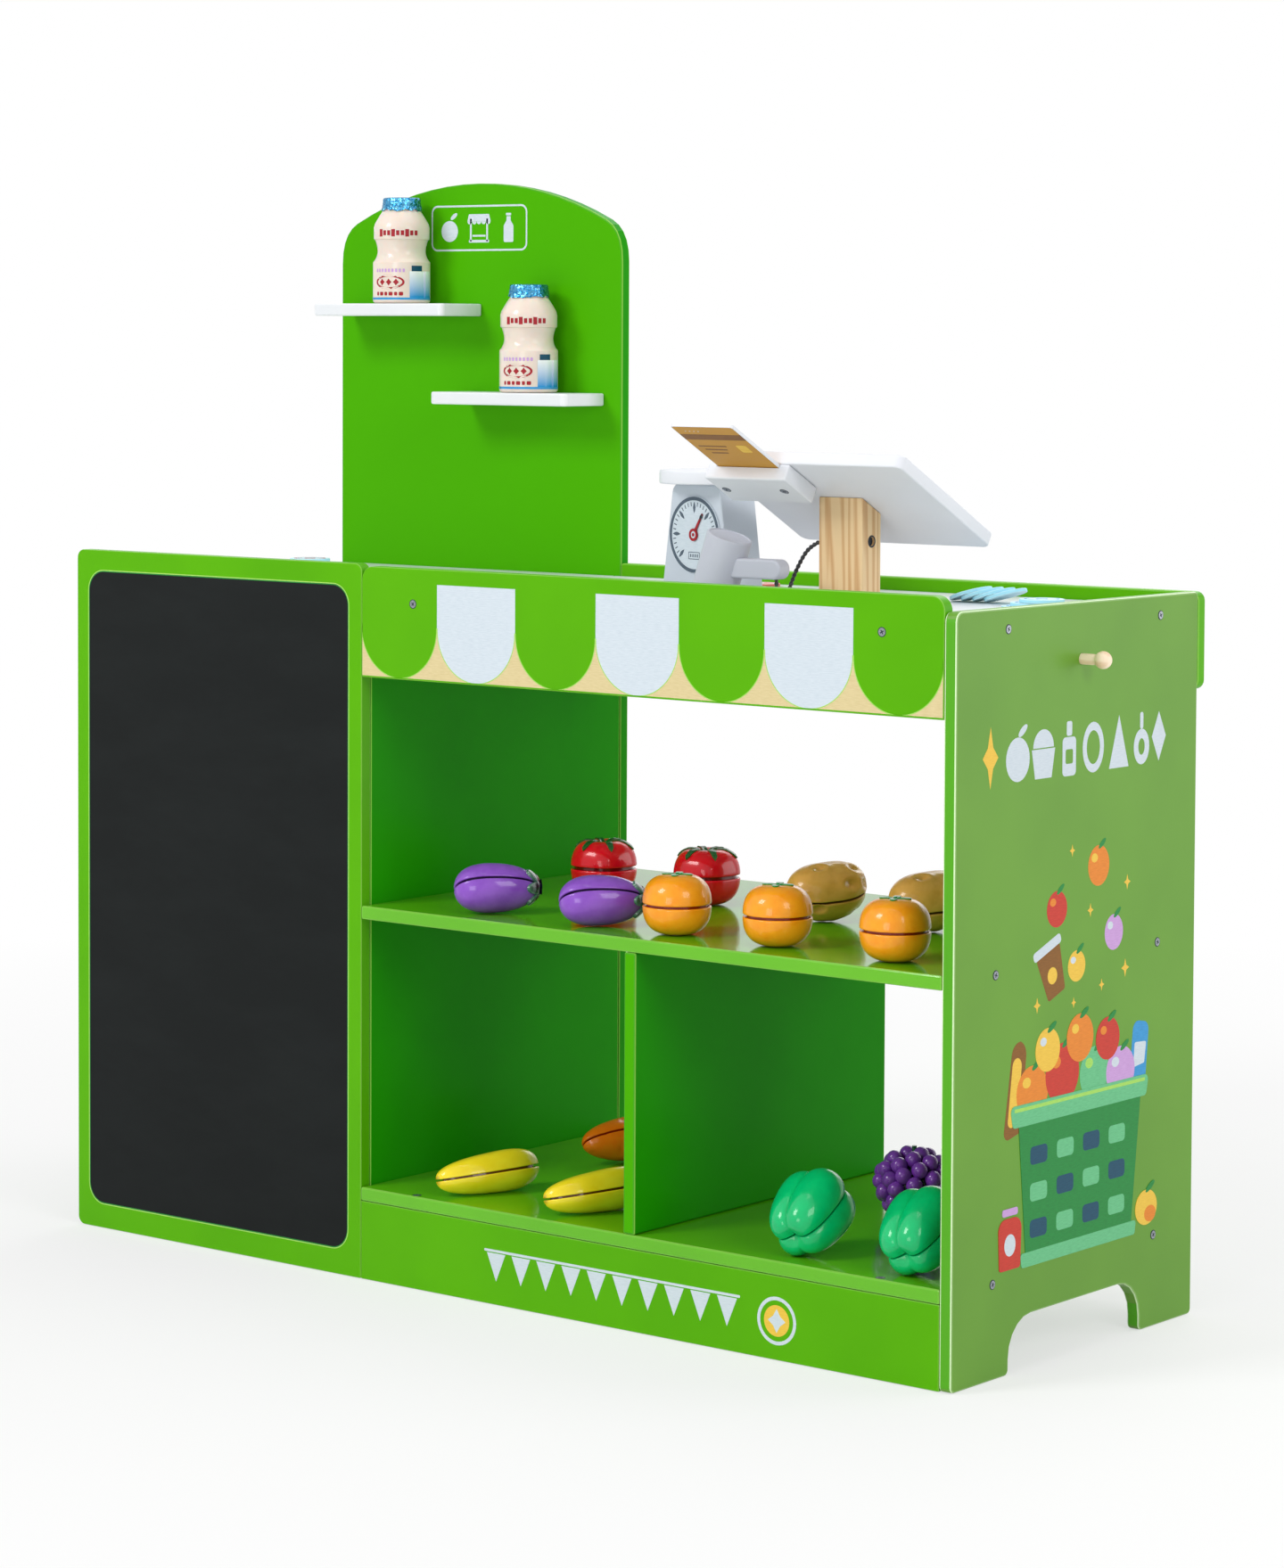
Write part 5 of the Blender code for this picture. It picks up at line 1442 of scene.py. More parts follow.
@dataclass
class Screws:
    """Countersunk cross-head screws, each in a dark ring of painted shade."""

    head_radius: float = 0.0036
    hole_radius: float = 0.0041
    cross_length: float = 0.0040
    cross_width: float = 0.0010
    front: tuple[Point, ...] = (
        (0.060, 0.604), (0.300, 0.604), (0.084, 0.327), (0.285, 0.327), (0.072, 0.078),
        (0.287, 0.078), (0.423, 0.603), (0.927, 0.603),
    )
    side: tuple[Point, ...] = (
        (0.072, 0.605), (0.300, 0.605), (0.058, 0.328), (0.300, 0.328), (0.057, 0.078),
        (0.298, 0.0785),
    )
    back: tuple[Point, ...] = (
        (0.060, 0.604), (0.300, 0.604), (0.060, 0.327), (0.300, 0.327), (0.060, 0.076),
        (0.300, 0.076), (0.052, 0.862), (0.150, 0.862), (0.205, 0.777), (0.305, 0.777),
        (0.423, 0.604), (0.927, 0.604),
    )
    reader: tuple[Point, ...] = ((-0.034, 0.0), (0.028, 0.0))
    shelf: tuple[Point, ...] = ((0.424, 0.006), (0.926, 0.006))

    def build(self) -> None:
        """Drive every group."""
        front = at(LEFT, FRONT, 0) @ FACING_FRONT
        self.group(Drive.FRONT, front, self.front, -INK + 0.00002, 0.00012)
        self.group(Drive.SIDE, at(RIGHT, FRONT, 0) @ FACING_SIDE, self.side, 0.0, 0.0004)
        back = [(-x, z) for x, z in self.back]
        self.group(Drive.BACK, at(LEFT, BACK + BOARD, 0) @ FACING_BACK, back, -0.0001, 0.0001)
        under = Register().under() @ at(-0.057, -0.054, -0.0153) @ turned(180, "X")
        self.group(Drive.READER, under, self.reader, 0.0, 0.0003)
        self.group(Drive.SHELF, at(LEFT, FRONT, 0.082), self.shelf, 0.0, 0.0002)

    def group(
        self, drive: Drive, plane: Matrix, places: Sequence[Point], base: float, rise: float,
    ) -> None:
        """Drive the screws of one plane as one piece, each cross open over a dark floor of painted
        shade.

        Args:
            drive: which group it is.
            plane: the plane's place.
            places: where each screw is in the plane.
            base: the height of the board's face in the plane.
            rise: how high the heads stand over it.
        """
        heads = Shape(f"screws_{drive.value}", [SCREW_STEEL])
        put = partial(heads.plate, low=base - 0.0003, place=plane)
        long, wide = self.cross_length / 2, self.cross_width / 2
        cross = [
            (-long, -wide), (-wide, -wide), (-wide, -long), (wide, -long), (wide, -wide),
            (long, -wide), (long, wide), (wide, wide), (wide, long), (-wide, long), (-wide, wide),
            (-long, wide),
        ]
        for x, y in places:
            # Painted shade: a dark ring round each head, and a dark floor under its cross
            for radius, share in ((self.hole_radius, 0.2), (self.head_radius, 0.5)):
                ring = ellipse(x, y, radius * 2, steps=24)
                put([ring], high=base + rise * share, finish=INK_DARK)
            turn = 20.0 + 55.0 * ((x * 37.0 + y * 91.0) % 1.0)
            inner = ellipse(x, y, self.head_radius * 1.86, steps=24)
            put([inner, moved(cross, x, y, turn)], high=base + rise)
        heads.finish_piece(CABINET)


@dataclass
class Register:
    """The tilted white panel on its pine post, with reader, card, display and keys."""

    post_x: float = 0.2491
    post_middle: float = -0.006
    post_half: float = 0.023
    hole_height: float = 0.664
    height: float = 0.69466
    tilt: float = -28.0
    width: float = 0.200
    length: float = 0.153
    card_width: float = 0.066
    card_length: float = 0.100
    card_thickness: float = 0.003
    card_place: Place = (-0.057, -0.1005, -0.0023)
    key_size: float = 0.0185
    key_pitch: float = 0.0235

    def under(self) -> Matrix:
        """The middle of the panel's underside, its tilt included."""
        return at(self.post_x, self.post_middle, self.height) @ turned(self.tilt, "X")

    def build(self) -> None:
        """Panel, post, reader, card and keys."""
        under = self.under()
        panel = Shape("register_top", [WHITE_SATIN])
        panel.plate([rectangle(0, 0, self.width, self.length, 0.008, 10)], 0.0, BOARD, under)
        panel.finish_piece(CABINET, ["register_panel"], "white_paint", edge=0.0015, edge_steps=3)
        dress("register_post", PINE, "pine")
        # Painted shade: a dark disc deep in the rope's hole and a dark ring round its mouth
        hole = Shape("register_post_hole_painted_shade", [INK_DARK])
        spot = at(self.post_x + 0.0205, self.post_middle, self.hole_height) @ FACING_SIDE
        hole.plate([ellipse(0, 0, 0.0081, steps=32)], 0.0, 0.0005, spot)
        face = at(self.post_x + self.post_half, self.post_middle, self.hole_height) @ FACING_SIDE
        hole.plate([ellipse(0, 0, size, steps=32) for size in (0.0106, 0.0080)], 0.0, 0.0002, face)
        hole.finish_piece(CABINET)
        dress("card_reader", WHITE_SATIN, "white_paint")
        self.card(under @ at(*self.card_place))
        self.keys(under @ at(0, 0, BOARD) @ turned(180, "Z"))

    def card(self, place: Matrix) -> None:
        """A wooden card: pale core, ochre faces and a plain printed pattern.

        Args:
            place: where the card's middle lies.
        """
        half = self.card_thickness / 2
        card = Shape("toy_bank_card", [WHITE_SATIN])
        card.plate(
            [rectangle(0, 0, self.card_width, self.card_length, 0.003)],
            -half + SUNK, half - SUNK, place,
        )
        face = rectangle(0, 0, self.card_width - 0.0016, self.card_length - 0.0016, 0.0024)
        for low in (-half, half - 0.0002):
            card.plate([face], low, low + 0.0002, place, CARD_OCHRE)
        put = partial(card.plate, low=-half - 0.00006, high=-half + SUNK, place=place)
        put([rectangle(0.0, -0.031, self.card_width - 0.0016, 0.010)], finish=INK_BROWN)
        for i in range(3):
            bar = rectangle(-0.012, -0.014 + i * 0.0062, 0.030 - i * 0.006, 0.0022, 0.0009)
            put([bar], finish=INK_BROWN)
        put([rectangle(0.019, -0.010, 0.011, 0.013, 0.002)], finish=INK_YELLOW)
        for i in range(4):
            dot = ellipse(-0.022 + i * 0.0045, -0.0415, 0.0013, steps=10)
            put([dot], low=-half - 0.00009, finish=INK_WHITE)
        card.finish_piece("bank_card", ["bank_card"], "ochre_paint")

    def keys(self, turn: Matrix) -> None:
        """Number keys and a display, printed on the side that the shopkeeper sees.

        Args:
            turn: the middle of the panel's top face, turned to the shopkeeper.
        """
        ink = Shape("register_keys", [INK_SLATE])
        put = partial(ink.plate, low=-SUNK, high=0.00006, place=turn)
        put([rectangle(0.0, 0.052, 0.150, 0.028, 0.004)], finish=INK_DARK)
        put([rectangle(0.0, 0.052, 0.142, 0.020, 0.003)], high=0.00009, finish=INK_MINT)
        for i, label in enumerate("789456123.0="):
            x = (i % 3 - 1) * self.key_pitch - 0.028
            y = 0.0235 - (i // 3) * self.key_pitch
            put([rectangle(x, y, self.key_size, self.key_size, 0.004)])
            self.figure(ink, label, 0.013, turn @ at(x, y, 0.00007), INK_WHITE)
        for i, finish in enumerate((INK_RED, INK_YELLOW, INK_DEEP_GREEN)):
            put([rectangle(0.055, 0.0235 - i * 0.0275, 0.046, 0.021, 0.004)], finish=finish)
        self.figure(ink, "0.00", 0.016, turn @ at(0.040, 0.052, 0.0001), INK_DARK)
        ink.finish_piece(CABINET, slot="grey_paint")

    def figure(self, ink: Shape, text: str, size: float, place: Matrix, finish: Finish) -> None:
        """Print one number.

        Args:
            ink: the print so far.
            text: the number.
            size: its height.
            place: where its middle lies.
            finish: the ink.
        """
        curve = bpy.data.curves.new("figure", "FONT")
        curve.body = text
        curve.size = size
        curve.align_x = "CENTER"
        curve.align_y = "CENTER"
        curve.extrude = 0.00003
        curve.resolution_u = 3
        ink.add_mesh(curve_mesh(curve), place, finish)


@dataclass
class PlayScale:
    """The grey scale body, its platform, its dial and the pointer that turns."""

    centre: Place = (0.0846, 0.014, 0.6103)
    turn: float = -11.5
    base_width: float = 0.093
    top_width: float = 0.064
    height: float = 0.0975
    depth: float = 0.040
    dial_height: float = 0.053
    dial_radius: float = 0.034
    platform_radius: float = 0.0475
    platform_thickness: float = 0.012
    platform_edge: float = 0.0016
    pointer_length: float = 0.022
    pointer_rest: float = -32.0

    def build(self) -> None:
        """Body, platform, dial and pointer."""
        place = at(*self.centre) @ turned(self.turn, "Z")
        half, top = self.base_width / 2, self.top_width / 2
        body = Shape("scale_case", [GREY_LACQUER])
        corners = [(-half, 0.0, 0.002), (half, 0.0, 0.002), (top, self.height, 0.009)]
        outline = rounded(corners + [(-top, self.height, 0.009)])
        body.plate([outline], -self.depth / 2, self.depth / 2, place @ FACING_FRONT)
        body.finish_piece(CABINET, ["scale_body"], "grey_paint", edge=0.002, edge_steps=3)
        tray = Shape("scale_tray", [WHITE_SATIN])
        thick, edge = self.platform_thickness, self.platform_edge
        flat = self.platform_radius - edge
        profile = [(0.0, thick), (flat, thick)] + arc((flat, thick - edge), edge, 75, 0, 4)
        profile += arc((flat, edge), edge, 0, -90, 5) + [(0.0, 0.0)]
        tray.lathe(profile, 72, place @ at(0, 0, self.height + FIT))
        tray.finish_piece(CABINET, ["scale_platform"], "white_paint")
        face = place @ at(0, -self.depth / 2, self.dial_height) @ FACING_FRONT
        self.dial(face)
        self.pointer(face)

    def dial(self, face: Matrix) -> None:
        """White dial in a slate ring, with diamond marks and fine ones between them.

        Args:
            face: the dial's middle on the front of the case.
        """
        radius = self.dial_radius
        dial = Shape("scale_dial_plate", [INK_WHITE])
        profile = [(0.0, 0.0016), (radius - 0.0004, 0.0016), (radius, 0.0012), (radius, FIT)]
        dial.lathe(profile + [(0.0, FIT)], 64, face)
        put = partial(dial.plate, low=0.0015, high=0.00172, place=face, finish=INK_SLATE)
        ring = [ellipse(0, 0, (radius - inset) * 2, steps=64) for inset in (0.0005, 0.0036)]
        put(ring, high=0.0018)
        for i in range(31):
            if i % 5 == 0:
                mark = diamond(0, 0.0240, 0.0034, 0.0100, 0.6)
            else:
                mark = rectangle(0, 0.0270, 0.0009, 0.0036)
            put([moved(mark, 0, 0, 135 - i * 9)])
        window = rectangle(0, -0.0185, 0.0150, 0.0066, 0.0006)
        put([window, rectangle(0, -0.0185, 0.0138, 0.0054, 0.0004)])
        for i in range(4):
            put([rectangle(-0.0045 + i * 0.003, -0.0185, 0.0014, 0.0028)], high=0.0017)
        dial.finish_piece(CABINET, ["scale_dial"], "white_paint")

    def pointer(self, face: Matrix) -> None:
        """The red pointer and its hub ring, on the body that turns.

        Args:
            face: the dial's middle on the front of the case.
        """
        length = self.pointer_length
        pointer = Shape("scale_red_pointer", [INK_CRIMSON])
        place = face @ at(0, 0, 0.0021) @ turned(self.pointer_rest, "Z")
        put = partial(pointer.plate, low=0.0, high=0.0010, place=place)
        needle = [(-0.0013, 0.004), (0.0013, 0.004), (0.0008, length), (-0.0008, length)]
        put([needle], high=0.0008)
        put([ellipse(0, 0, size, steps=32) for size in (0.0110, 0.0066)])
        put([ellipse(0, 0, 0.0066, steps=32)], high=0.0006, finish=INK_WHITE)
        put([ellipse(0, 0, 0.0030, steps=20)])
        put([diamond(0, length - 0.0030, 0.0026, 0.0070, 0.55)], high=0.0009, finish=INK_DARK)
        pointer.finish_piece("scale_pointer", ["scale_pointer"], "red_paint")


@dataclass
class Scanner:
    """The leaning barrel, cut level at its foot, and the round-ended handle."""

    foot: Place = (0.1461, -0.066, 0.6103)
    radius: float = 0.020
    height: float = 0.057
    lean: float = 19.0
    handle_low: float = 0.0215
    handle_high: float = 0.0385
    handle_reach: float = 0.079
    handle_depth: float = 0.016
    sides: int = 64

    def build(self) -> None:
        """Barrel and handle, both on the scanner's body."""
        lean = math.radians(self.lean)
        length = self.height / math.cos(lean)
        place = at(*self.foot)
        axis = Vector((math.sin(lean), 0.0, math.cos(lean)))
        across = Vector((math.cos(lean), 0.0, -math.sin(lean)))
        # The rim's steps: how far each lies in from the side and down from the end
        rim = (
            (0.0, 0.0012), (0.0003, 0.0004), (0.0010, 0.0), (0.0021, 0.0), (0.0024, 0.0006),
            (0.0030, 0.0008),
        )

        def ring(radius: float, along: float | None) -> list[Vector]:
            """Draw a ring of points round the barrel.

            Args:
                radius: the ring's radius.
                along: how far up the barrel it lies, or None for one on the counter.

            Returns:
                The points.
            """
            points = []
            for angle in around(self.sides):
                out = across * math.cos(angle) + Vector((0, math.sin(angle), 0))
                reach = along if along is not None else radius * math.cos(angle) * math.tan(lean)
                points.append(axis * reach + out * radius)
            return points

        barrel = Shape("scanner_body", [SCANNER_GREY])
        rings = [[Vector((0, 0, 0))], ring(self.radius, None)]
        rings += [ring(self.radius - inward, length - down) for inward, down in rim]
        barrel.grid(rings + [[axis * (length - 0.0008)]], place)
        barrel.finish_piece("scanner", ["scanner_barrel"], "grey_paint", smooth_below=50)
        handle = Shape("scanner_grip", [SCANNER_GREY])
        low, high, reach, half = (
            self.handle_low, self.handle_high, self.handle_reach, self.handle_depth / 2,
        )
        start = math.tan(lean) * (low + high) / 2 + 0.012
        corners = [(start, low, 0.0), (reach, low, 0.0080), (reach, high, 0.0080)]
        outline = rounded(corners + [(start, high, 0.0)], 12)
        handle.plate([outline], -half, half, place @ FACING_FRONT)
        handle.finish_piece("scanner", ["scanner_handle"], "grey_paint", edge=0.0022, edge_steps=4)


@dataclass
class Coins:
    """Wooden play coins: a stack, a leaning row, a lying row and a coral one."""

    radius: float = 0.019
    thickness: float = 0.003
    sides: int = 56
    edge: float = 0.0004
    lean: float = 17.0

    def build(self) -> None:
        """Every coin where the CAD has it."""
        floor = COUNTER_TOP + FIT
        blue, coral = (COIN_BLUE, COIN_BLUE_EDGE), (COIN_CORAL, COIN_CORAL_EDGE)
        stack = self.pile("coin_pile", at(-0.3859, -0.006, floor), *blue, INK_CRIMSON, 5)
        stack.finish_piece("coin_stack", ["coin_stack"], "pale_blue_coin")
        high = floor + self.radius * math.sin(math.radians(self.lean))
        tilt = turned(-self.lean, "Y")
        rows = [("leaning", i, at(0.3121 + 0.012 * i, 0.086, high) @ tilt) for i in range(4)]
        rows += [
            ("lying", i, at(0.4041 + 0.009 * i, 0.030, floor + 0.0033 * i)) for i in range(3)
        ]
        for row, i, place in rows:
            node = f"{row}_coin_{i + 1}"
            coin = self.pile(node + "_disc", place @ turned(i * 40.0, "Z"), *blue, INK_BLUE)
            coin.finish_piece(f"{row}_coins", [node], "pale_blue_coin")
        red = self.pile("coral_play_coin", at(0.0461, 0.132, floor), *coral, INK_WHITE)
        red.finish_piece("coral_coin", ["coral_coin"], "coral_coin")

    def pile(
        self, name: str, place: Matrix, face: Finish, side: Finish, ink: Finish, count: int = 1,
    ) -> Shape:
        """Discs with eased rims on one another, a ring round a sparkle on the top one.

        Args:
            name: the piece's name.
            place: where the lowest coin lies.
            face: the paint of the faces and eased rims.
            side: the deeper paint of the sides.
            ink: the print.
            count: how many coins there are.

        Returns:
            The coins, not yet an object.
        """
        shape = Shape(name, [face])
        r, t, e = self.radius, self.thickness, self.edge
        top = [(0.0, t), (r - e, t), (r - e * 0.3, t - e * 0.3), (r, t - e)]
        foot = [(r, e), (r - e * 0.3, e * 0.3), (r - e, 0.0), (0.0, 0.0)]
        for i in range(count):
            spot = place @ at(0, 0, t * i)
            shape.lathe(top, self.sides, spot, face)
            shape.lathe([(r, t - e), (r, e)], self.sides, spot, side)
            shape.lathe(foot, self.sides, spot, face)
        wide = r * 2
        put = partial(
            shape.plate, low=-SUNK, high=0.00005, place=place @ at(0, 0, t * count), finish=ink,
        )
        put([ellipse(0, 0, wide * share, steps=40) for share in (0.80, 0.68)])
        put([diamond(0, 0, wide * 0.4, wide * 0.4, 0.4)])
        return shape


@dataclass
class DrinkBottle:
    """A small waisted yoghurt-drink bottle with a foil cap and a plain printed label."""

    name: str
    x: float
    shelf_top: float
    y: float = 0.144
    height: float = 0.094
    radius: float = 0.028
    foot_top: float = 0.0405
    waist: float = 0.0235
    band: float = 0.0272
    band_low: float = 0.062
    band_high: float = 0.0745
    band_middle: float = 0.0683
    neck: float = 0.0178
    lip: float = 0.003
    label_turn: float = 38.0

    def build(self) -> None:
        """Bottle, label, band print and cap on the bottle's body."""
        place = at(self.x, self.y, self.shelf_top + FIT)
        bottle = Shape(self.name + "_blown", [BOTTLE_MILK])
        bottle.lathe(self.profile(), 72)
        bottle.finish_piece(self.name, [self.name], "milky_plastic", place=place, smooth_below=24)
        self.label(place)
        self.band_print(place)
        self.cap(place @ at(0, 0, self.height + FIT))

    def profile(self) -> list[Point]:
        """Draw half the bottle's outline, from its mouth down.

        Returns:
            The (radius, height) points.
        """
        neck, band, foot, shoulder = self.neck, self.band, self.radius, self.height - self.lip
        points = [(0.0, self.height), (neck, self.height), (neck, shoulder)]
        for i in range(1, 9):
            share = i / 9
            bulge = 0.0003 * math.sin(math.pi * share)
            drop = (shoulder - self.band_high - 0.001) * share
            points.append((neck + (band - neck) * share + bulge, shoulder - drop))
        points += [(band - 0.0004, self.band_high + 0.0006), (band, self.band_high - 0.0008)]
        points += [(band, self.band_low + 0.0010), (band - 0.0003, self.band_low + 0.0002)]
        for i in range(15):
            share = i / 14
            plain = band - 0.0014 + (foot - band + 0.0010) * share
            dip = (plain - self.waist) * math.sin(math.pi * share) ** 0.8
            height = self.band_low - 0.0006 + (self.foot_top + 0.0006 - self.band_low) * share
            points.append((plain - dip, height))
        points += [(foot, self.foot_top - 0.0008), (foot, 0.0036)]
        points += arc((foot - 0.003, 0.003), 0.003, -15, -90, 5)
        return points + [(foot - 0.008, 0.0), (foot - 0.011, 0.0014), (0.0, 0.0020)]

    def bent(
        self, label: Shape, finish: Finish, *outlines: Outline, lift: float = LIFT,
    ) -> None:
        """Lay a flat print round the bottle's foot.

        Args:
            label: the label so far.
            finish: the ink.
            outlines: the print, in metres round the bottle and up.
            lift: how far it stands off the bottle.
        """
        mesh = plate_mesh("label", outlines, 0.0, FILM)
        turn = math.radians(self.label_turn)
        for vert in mesh.vertices:
            angle = vert.co.x / self.radius + turn
            out = self.radius + lift + vert.co.z
            vert.co = (out * math.sin(angle), -out * math.cos(angle), vert.co.y)
        label.add_mesh(mesh, None, finish)

    def label(self, place: Matrix) -> None:
        """A red oval, pale lines, a dark block and a blue fade round the foot.

        Args:
            place: where the bottle stands.
        """
        label = Shape(self.name + "_label", [LABEL_FADE])
        # Plain panels, each drawn as narrow strips so that it bends: left, right, low and high
        panels = (
            (LABEL_FADE, 0.010, 0.040, 0.0055, 0.0310, 0.00002),
            (INK_BLUE, -0.046, 0.042, 0.0034, 0.0056, LIFT),
            (INK_NAVY, 0.012, 0.024, 0.0310, 0.0365, LIFT),
        )
        for finish, left, right, low, high, lift in panels:
            steps = max(2, round((right - left) / 0.002))
            for i in range(steps):
                a = left + (right - left) * i / steps
                b = left + (right - left) * (i + 1) / steps
                self.bent(label, finish, [(a, low), (b, low), (b, high), (a, high)], lift=lift)
        red = partial(self.bent, label, INK_CRIMSON)
        red(*(ellipse(-0.011, 0.0205, *size, 40) for size in ((0.032, 0.0135), (0.0275, 0.0100))))
        for i in range(3):
            red(diamond(-0.0185 + i * 0.0075, 0.0205, 0.0062, 0.0070, 0.45))
        for i in range(9):
            bar = rectangle(-0.0255 + i * 0.0037, 0.0318, 0.0022, 0.0034, 0.0006)
            self.bent(label, INK_LILAC, bar)
        for i in range(6):
            wide = 0.0042 if i % 2 else 0.0030
            red(rectangle(-0.0245 + i * 0.0052, 0.0092, wide, 0.0036, 0.0009))
        label.finish_piece(self.name, slot="milky_plastic", place=place)

    def band_print(self, place: Matrix) -> None:
        """Nine bars round the band.

        Args:
            place: where the bottle stands.
        """
        band = Shape(self.name + "_band_print", [INK_CRIMSON])
        for i in range(9):
            angle = math.radians(self.label_turn) + (i - 4.4) * 0.17
            out = Vector((math.sin(angle), -math.cos(angle), 0.0))
            across = Vector((math.cos(angle), math.sin(angle), 0.0))
            middle = out * (self.band + LIFT)
            tall, wide = (0.0024, 0.0016) if i % 3 else (0.0036, 0.0019)
            corners = [
                middle + across * (s * wide) + Vector((0, 0, self.band_middle + t * tall))
                for s, t in ((-1, -1), (1, -1), (1, 1), (-1, 1))
            ]
            inner = [corner - out * 0.0004 for corner in corners]
            faces = [(0, 1, 2, 3), (7, 6, 5, 4)]
            faces += [(j, j + 4, (j + 1) % 4 + 4, (j + 1) % 4) for j in range(4)]
            band.add(corners + inner, faces)
        band.finish_piece(self.name, slot="red_paint", place=place)

    def cap(self, place: Matrix) -> None:
        """Foil drawn down over the neck: creased, with a ragged skirt.

        Args:
            place: the middle of the bottle's mouth.
        """
        seed = self.x * 40.0

        def crease(angle: float, height: float) -> float:
            """How far the foil stands in or out there."""
            spot = Vector((math.cos(angle) * 5.0, math.sin(angle) * 5.0, height * 260.0 + seed))
            return 0.0011 * noise.noise(spot) + 0.0005 * noise.noise(spot * 2.7)

        cap = Shape(self.name + "_cap_foil", [FOIL])
        profile = [
            (0.0, 0.0088), (0.006, 0.0089), (0.012, 0.0088), (0.0160, 0.0086), (0.0178, 0.0080),
            (0.0184, 0.0066), (0.0185, 0.0048), (0.0186, 0.0030), (0.0187, 0.0012),
            (0.0188, -0.0008), (0.0192, -0.0024), (0.0197, -0.0036), (0.0192, -0.0037),
            (0.0172, 0.0060), (0.0, 0.0062),
        ]
        cap.lathe(profile, 96, None, FOIL, crease)
        for i, point in enumerate(cap.points):
            if point.z < -0.0015:
                angle = math.atan2(point.y, point.x)
                ragged = noise.noise(Vector((math.cos(angle) * 4, math.sin(angle) * 4, seed)))
                cap.points[i] = point + Vector((0, 0, 0.0022 * ragged))
        cap.finish_piece(self.name, [self.name + "_cap"], "blue_foil", place=place, smooth_below=28)


def sized(point: Vector, size: Place, swell: float = 1.0, tall: float | None = None) -> Vector:
    """Scale a point of a unit ball to a fruit's half sizes, its sides swollen by a share."""
    height = point.z if tall is None else tall
    return Vector((point.x * size[0] * swell, point.y * size[1] * swell, height * size[2]))


def full(co: Vector, power: float) -> Vector:
    """Push a point of a unit ball out to a squarer one.

    Args:
        co: the point.
        power: how square: 2 leaves the ball round.

    Returns:
        The new point.
    """
    if co.length < 1e-6:
        return co.copy()
    flat, tall = math.hypot(co.x, co.y) / co.length, abs(co.z) / co.length
    return co / (flat**power + tall**power) ** (1.0 / power)


def dimpled(point: Vector, depth: float) -> float:
    """A point's height with a dimple sunk into both ends."""
    flat = min(math.hypot(point.x, point.y), 1.0)
    return point.z - math.copysign(depth * (1.0 - flat) ** 2, point.z)


def eggplant_form(co: Vector) -> Vector:
    """A plump body, a little narrower at the stem."""
    point = full(co, 2.3)
    return sized(point, (0.0238, 0.0238, 0.0370), 1.0 - 0.18 * (point.z + 1.0) / 2.0)


def tomato_form(co: Vector) -> Vector:
    """A squat ball with soft ribs that run into a sunken crown.

    Args:
        co: a point of the unit ball.

    Returns:
        The point of the tomato.
    """
    point = full(co, 2.4)
    rib = 0.5 - 0.5 * math.cos(5 * math.atan2(point.y, point.x))
    swell = 1.0 - 0.06 * math.hypot(point.x, point.y) * rib
    crown = 0.10 if co.z < 0 else 0.30
    return sized(point, (0.0305, 0.0305, 0.0278), swell, dimpled(point, crown))


def orange_form(co: Vector) -> Vector:
    """A squat ball, flatter at both ends."""
    point = full(co, 2.55)
    return sized(point, (0.0293, 0.0293, 0.0268), tall=dimpled(point, 0.08))


POTATO_EYES = tuple(
    Vector(eye).normalized()
    for eye in (
        (0.9, -0.5, 0.3), (0.2, -0.9, -0.5), (-0.5, -0.8, 0.45), (0.6, 0.2, -0.8), (0.2, 0.9, 0.3),
        (-0.9, -0.1, -0.2), (-0.8, -0.2, 0.75), (-0.3, -0.55, 0.9), (0.5, -0.4, 0.9),
        (0.9, 0.4, 0.1),
    )
)


def potato_form(co: Vector) -> Vector:
    """An uneven oval with raised-rim eyes.

    Args:
        co: a point of the unit ball.

    Returns:
        The point of the potato.
    """
    swell = 1.0 + 0.05 * math.sin(3.0 * co.z + 2.0 * co.x)
    if co.length > 0.93:
        heading = co.normalized()
        for eye in POTATO_EYES:
            apart = heading.angle(eye)
            if apart < 0.6:
                swell += 0.032 * math.exp(-(((apart - 0.25) / 0.09) ** 2))
                swell -= 0.100 * math.exp(-((apart / 0.13) ** 2))
    point = full(co, 2.3)
    return sized(point, (0.0248, 0.0275, 0.0345), swell, point.z * swell)


def banana_form(co: Vector) -> Vector:
    """A long pod with flats along it, blunt at both ends and gently bent.

    Args:
        co: a point of the unit ball.

    Returns:
        The point of the banana.
    """
    point = full(co, 2.7)
    angle = math.atan2(point.y, point.x)
    narrow = (1.0 - 0.17 * point.z) * (1.0 - 0.045 * (0.5 - 0.5 * math.cos(5.0 * angle)))
    bow = Vector((0.0, 0.005 * (1.0 - point.z * point.z), 0.0))
    return sized(point, (0.0180, 0.0180, 0.0490), narrow) + bow


CARROT_MARKS = tuple((-0.85 + 0.107 * i, (i * 2.4) % math.tau) for i in range(17))


def carrot_form(co: Vector) -> Vector:
    """A thick root that narrows to its blunt tip, with short marks across it.

    Args:
        co: a point of the unit ball.

    Returns:
        The point of the carrot.
    """
    point = full(co, 2.4)
    narrow = 1.0 + 0.22 * point.z
    angle = math.atan2(point.y, point.x)
    for height, turn in CARROT_MARKS:
        if abs(point.z - height) < 0.12:
            apart = abs((angle - turn + math.pi) % math.tau - math.pi)
            if apart < 0.5:
                reach = math.cos(apart * math.pi) ** 2
                narrow -= 0.06 * reach * math.exp(-(((point.z - height) / 0.035) ** 2))
    return sized(point, (0.0200, 0.0200, 0.0440), narrow)


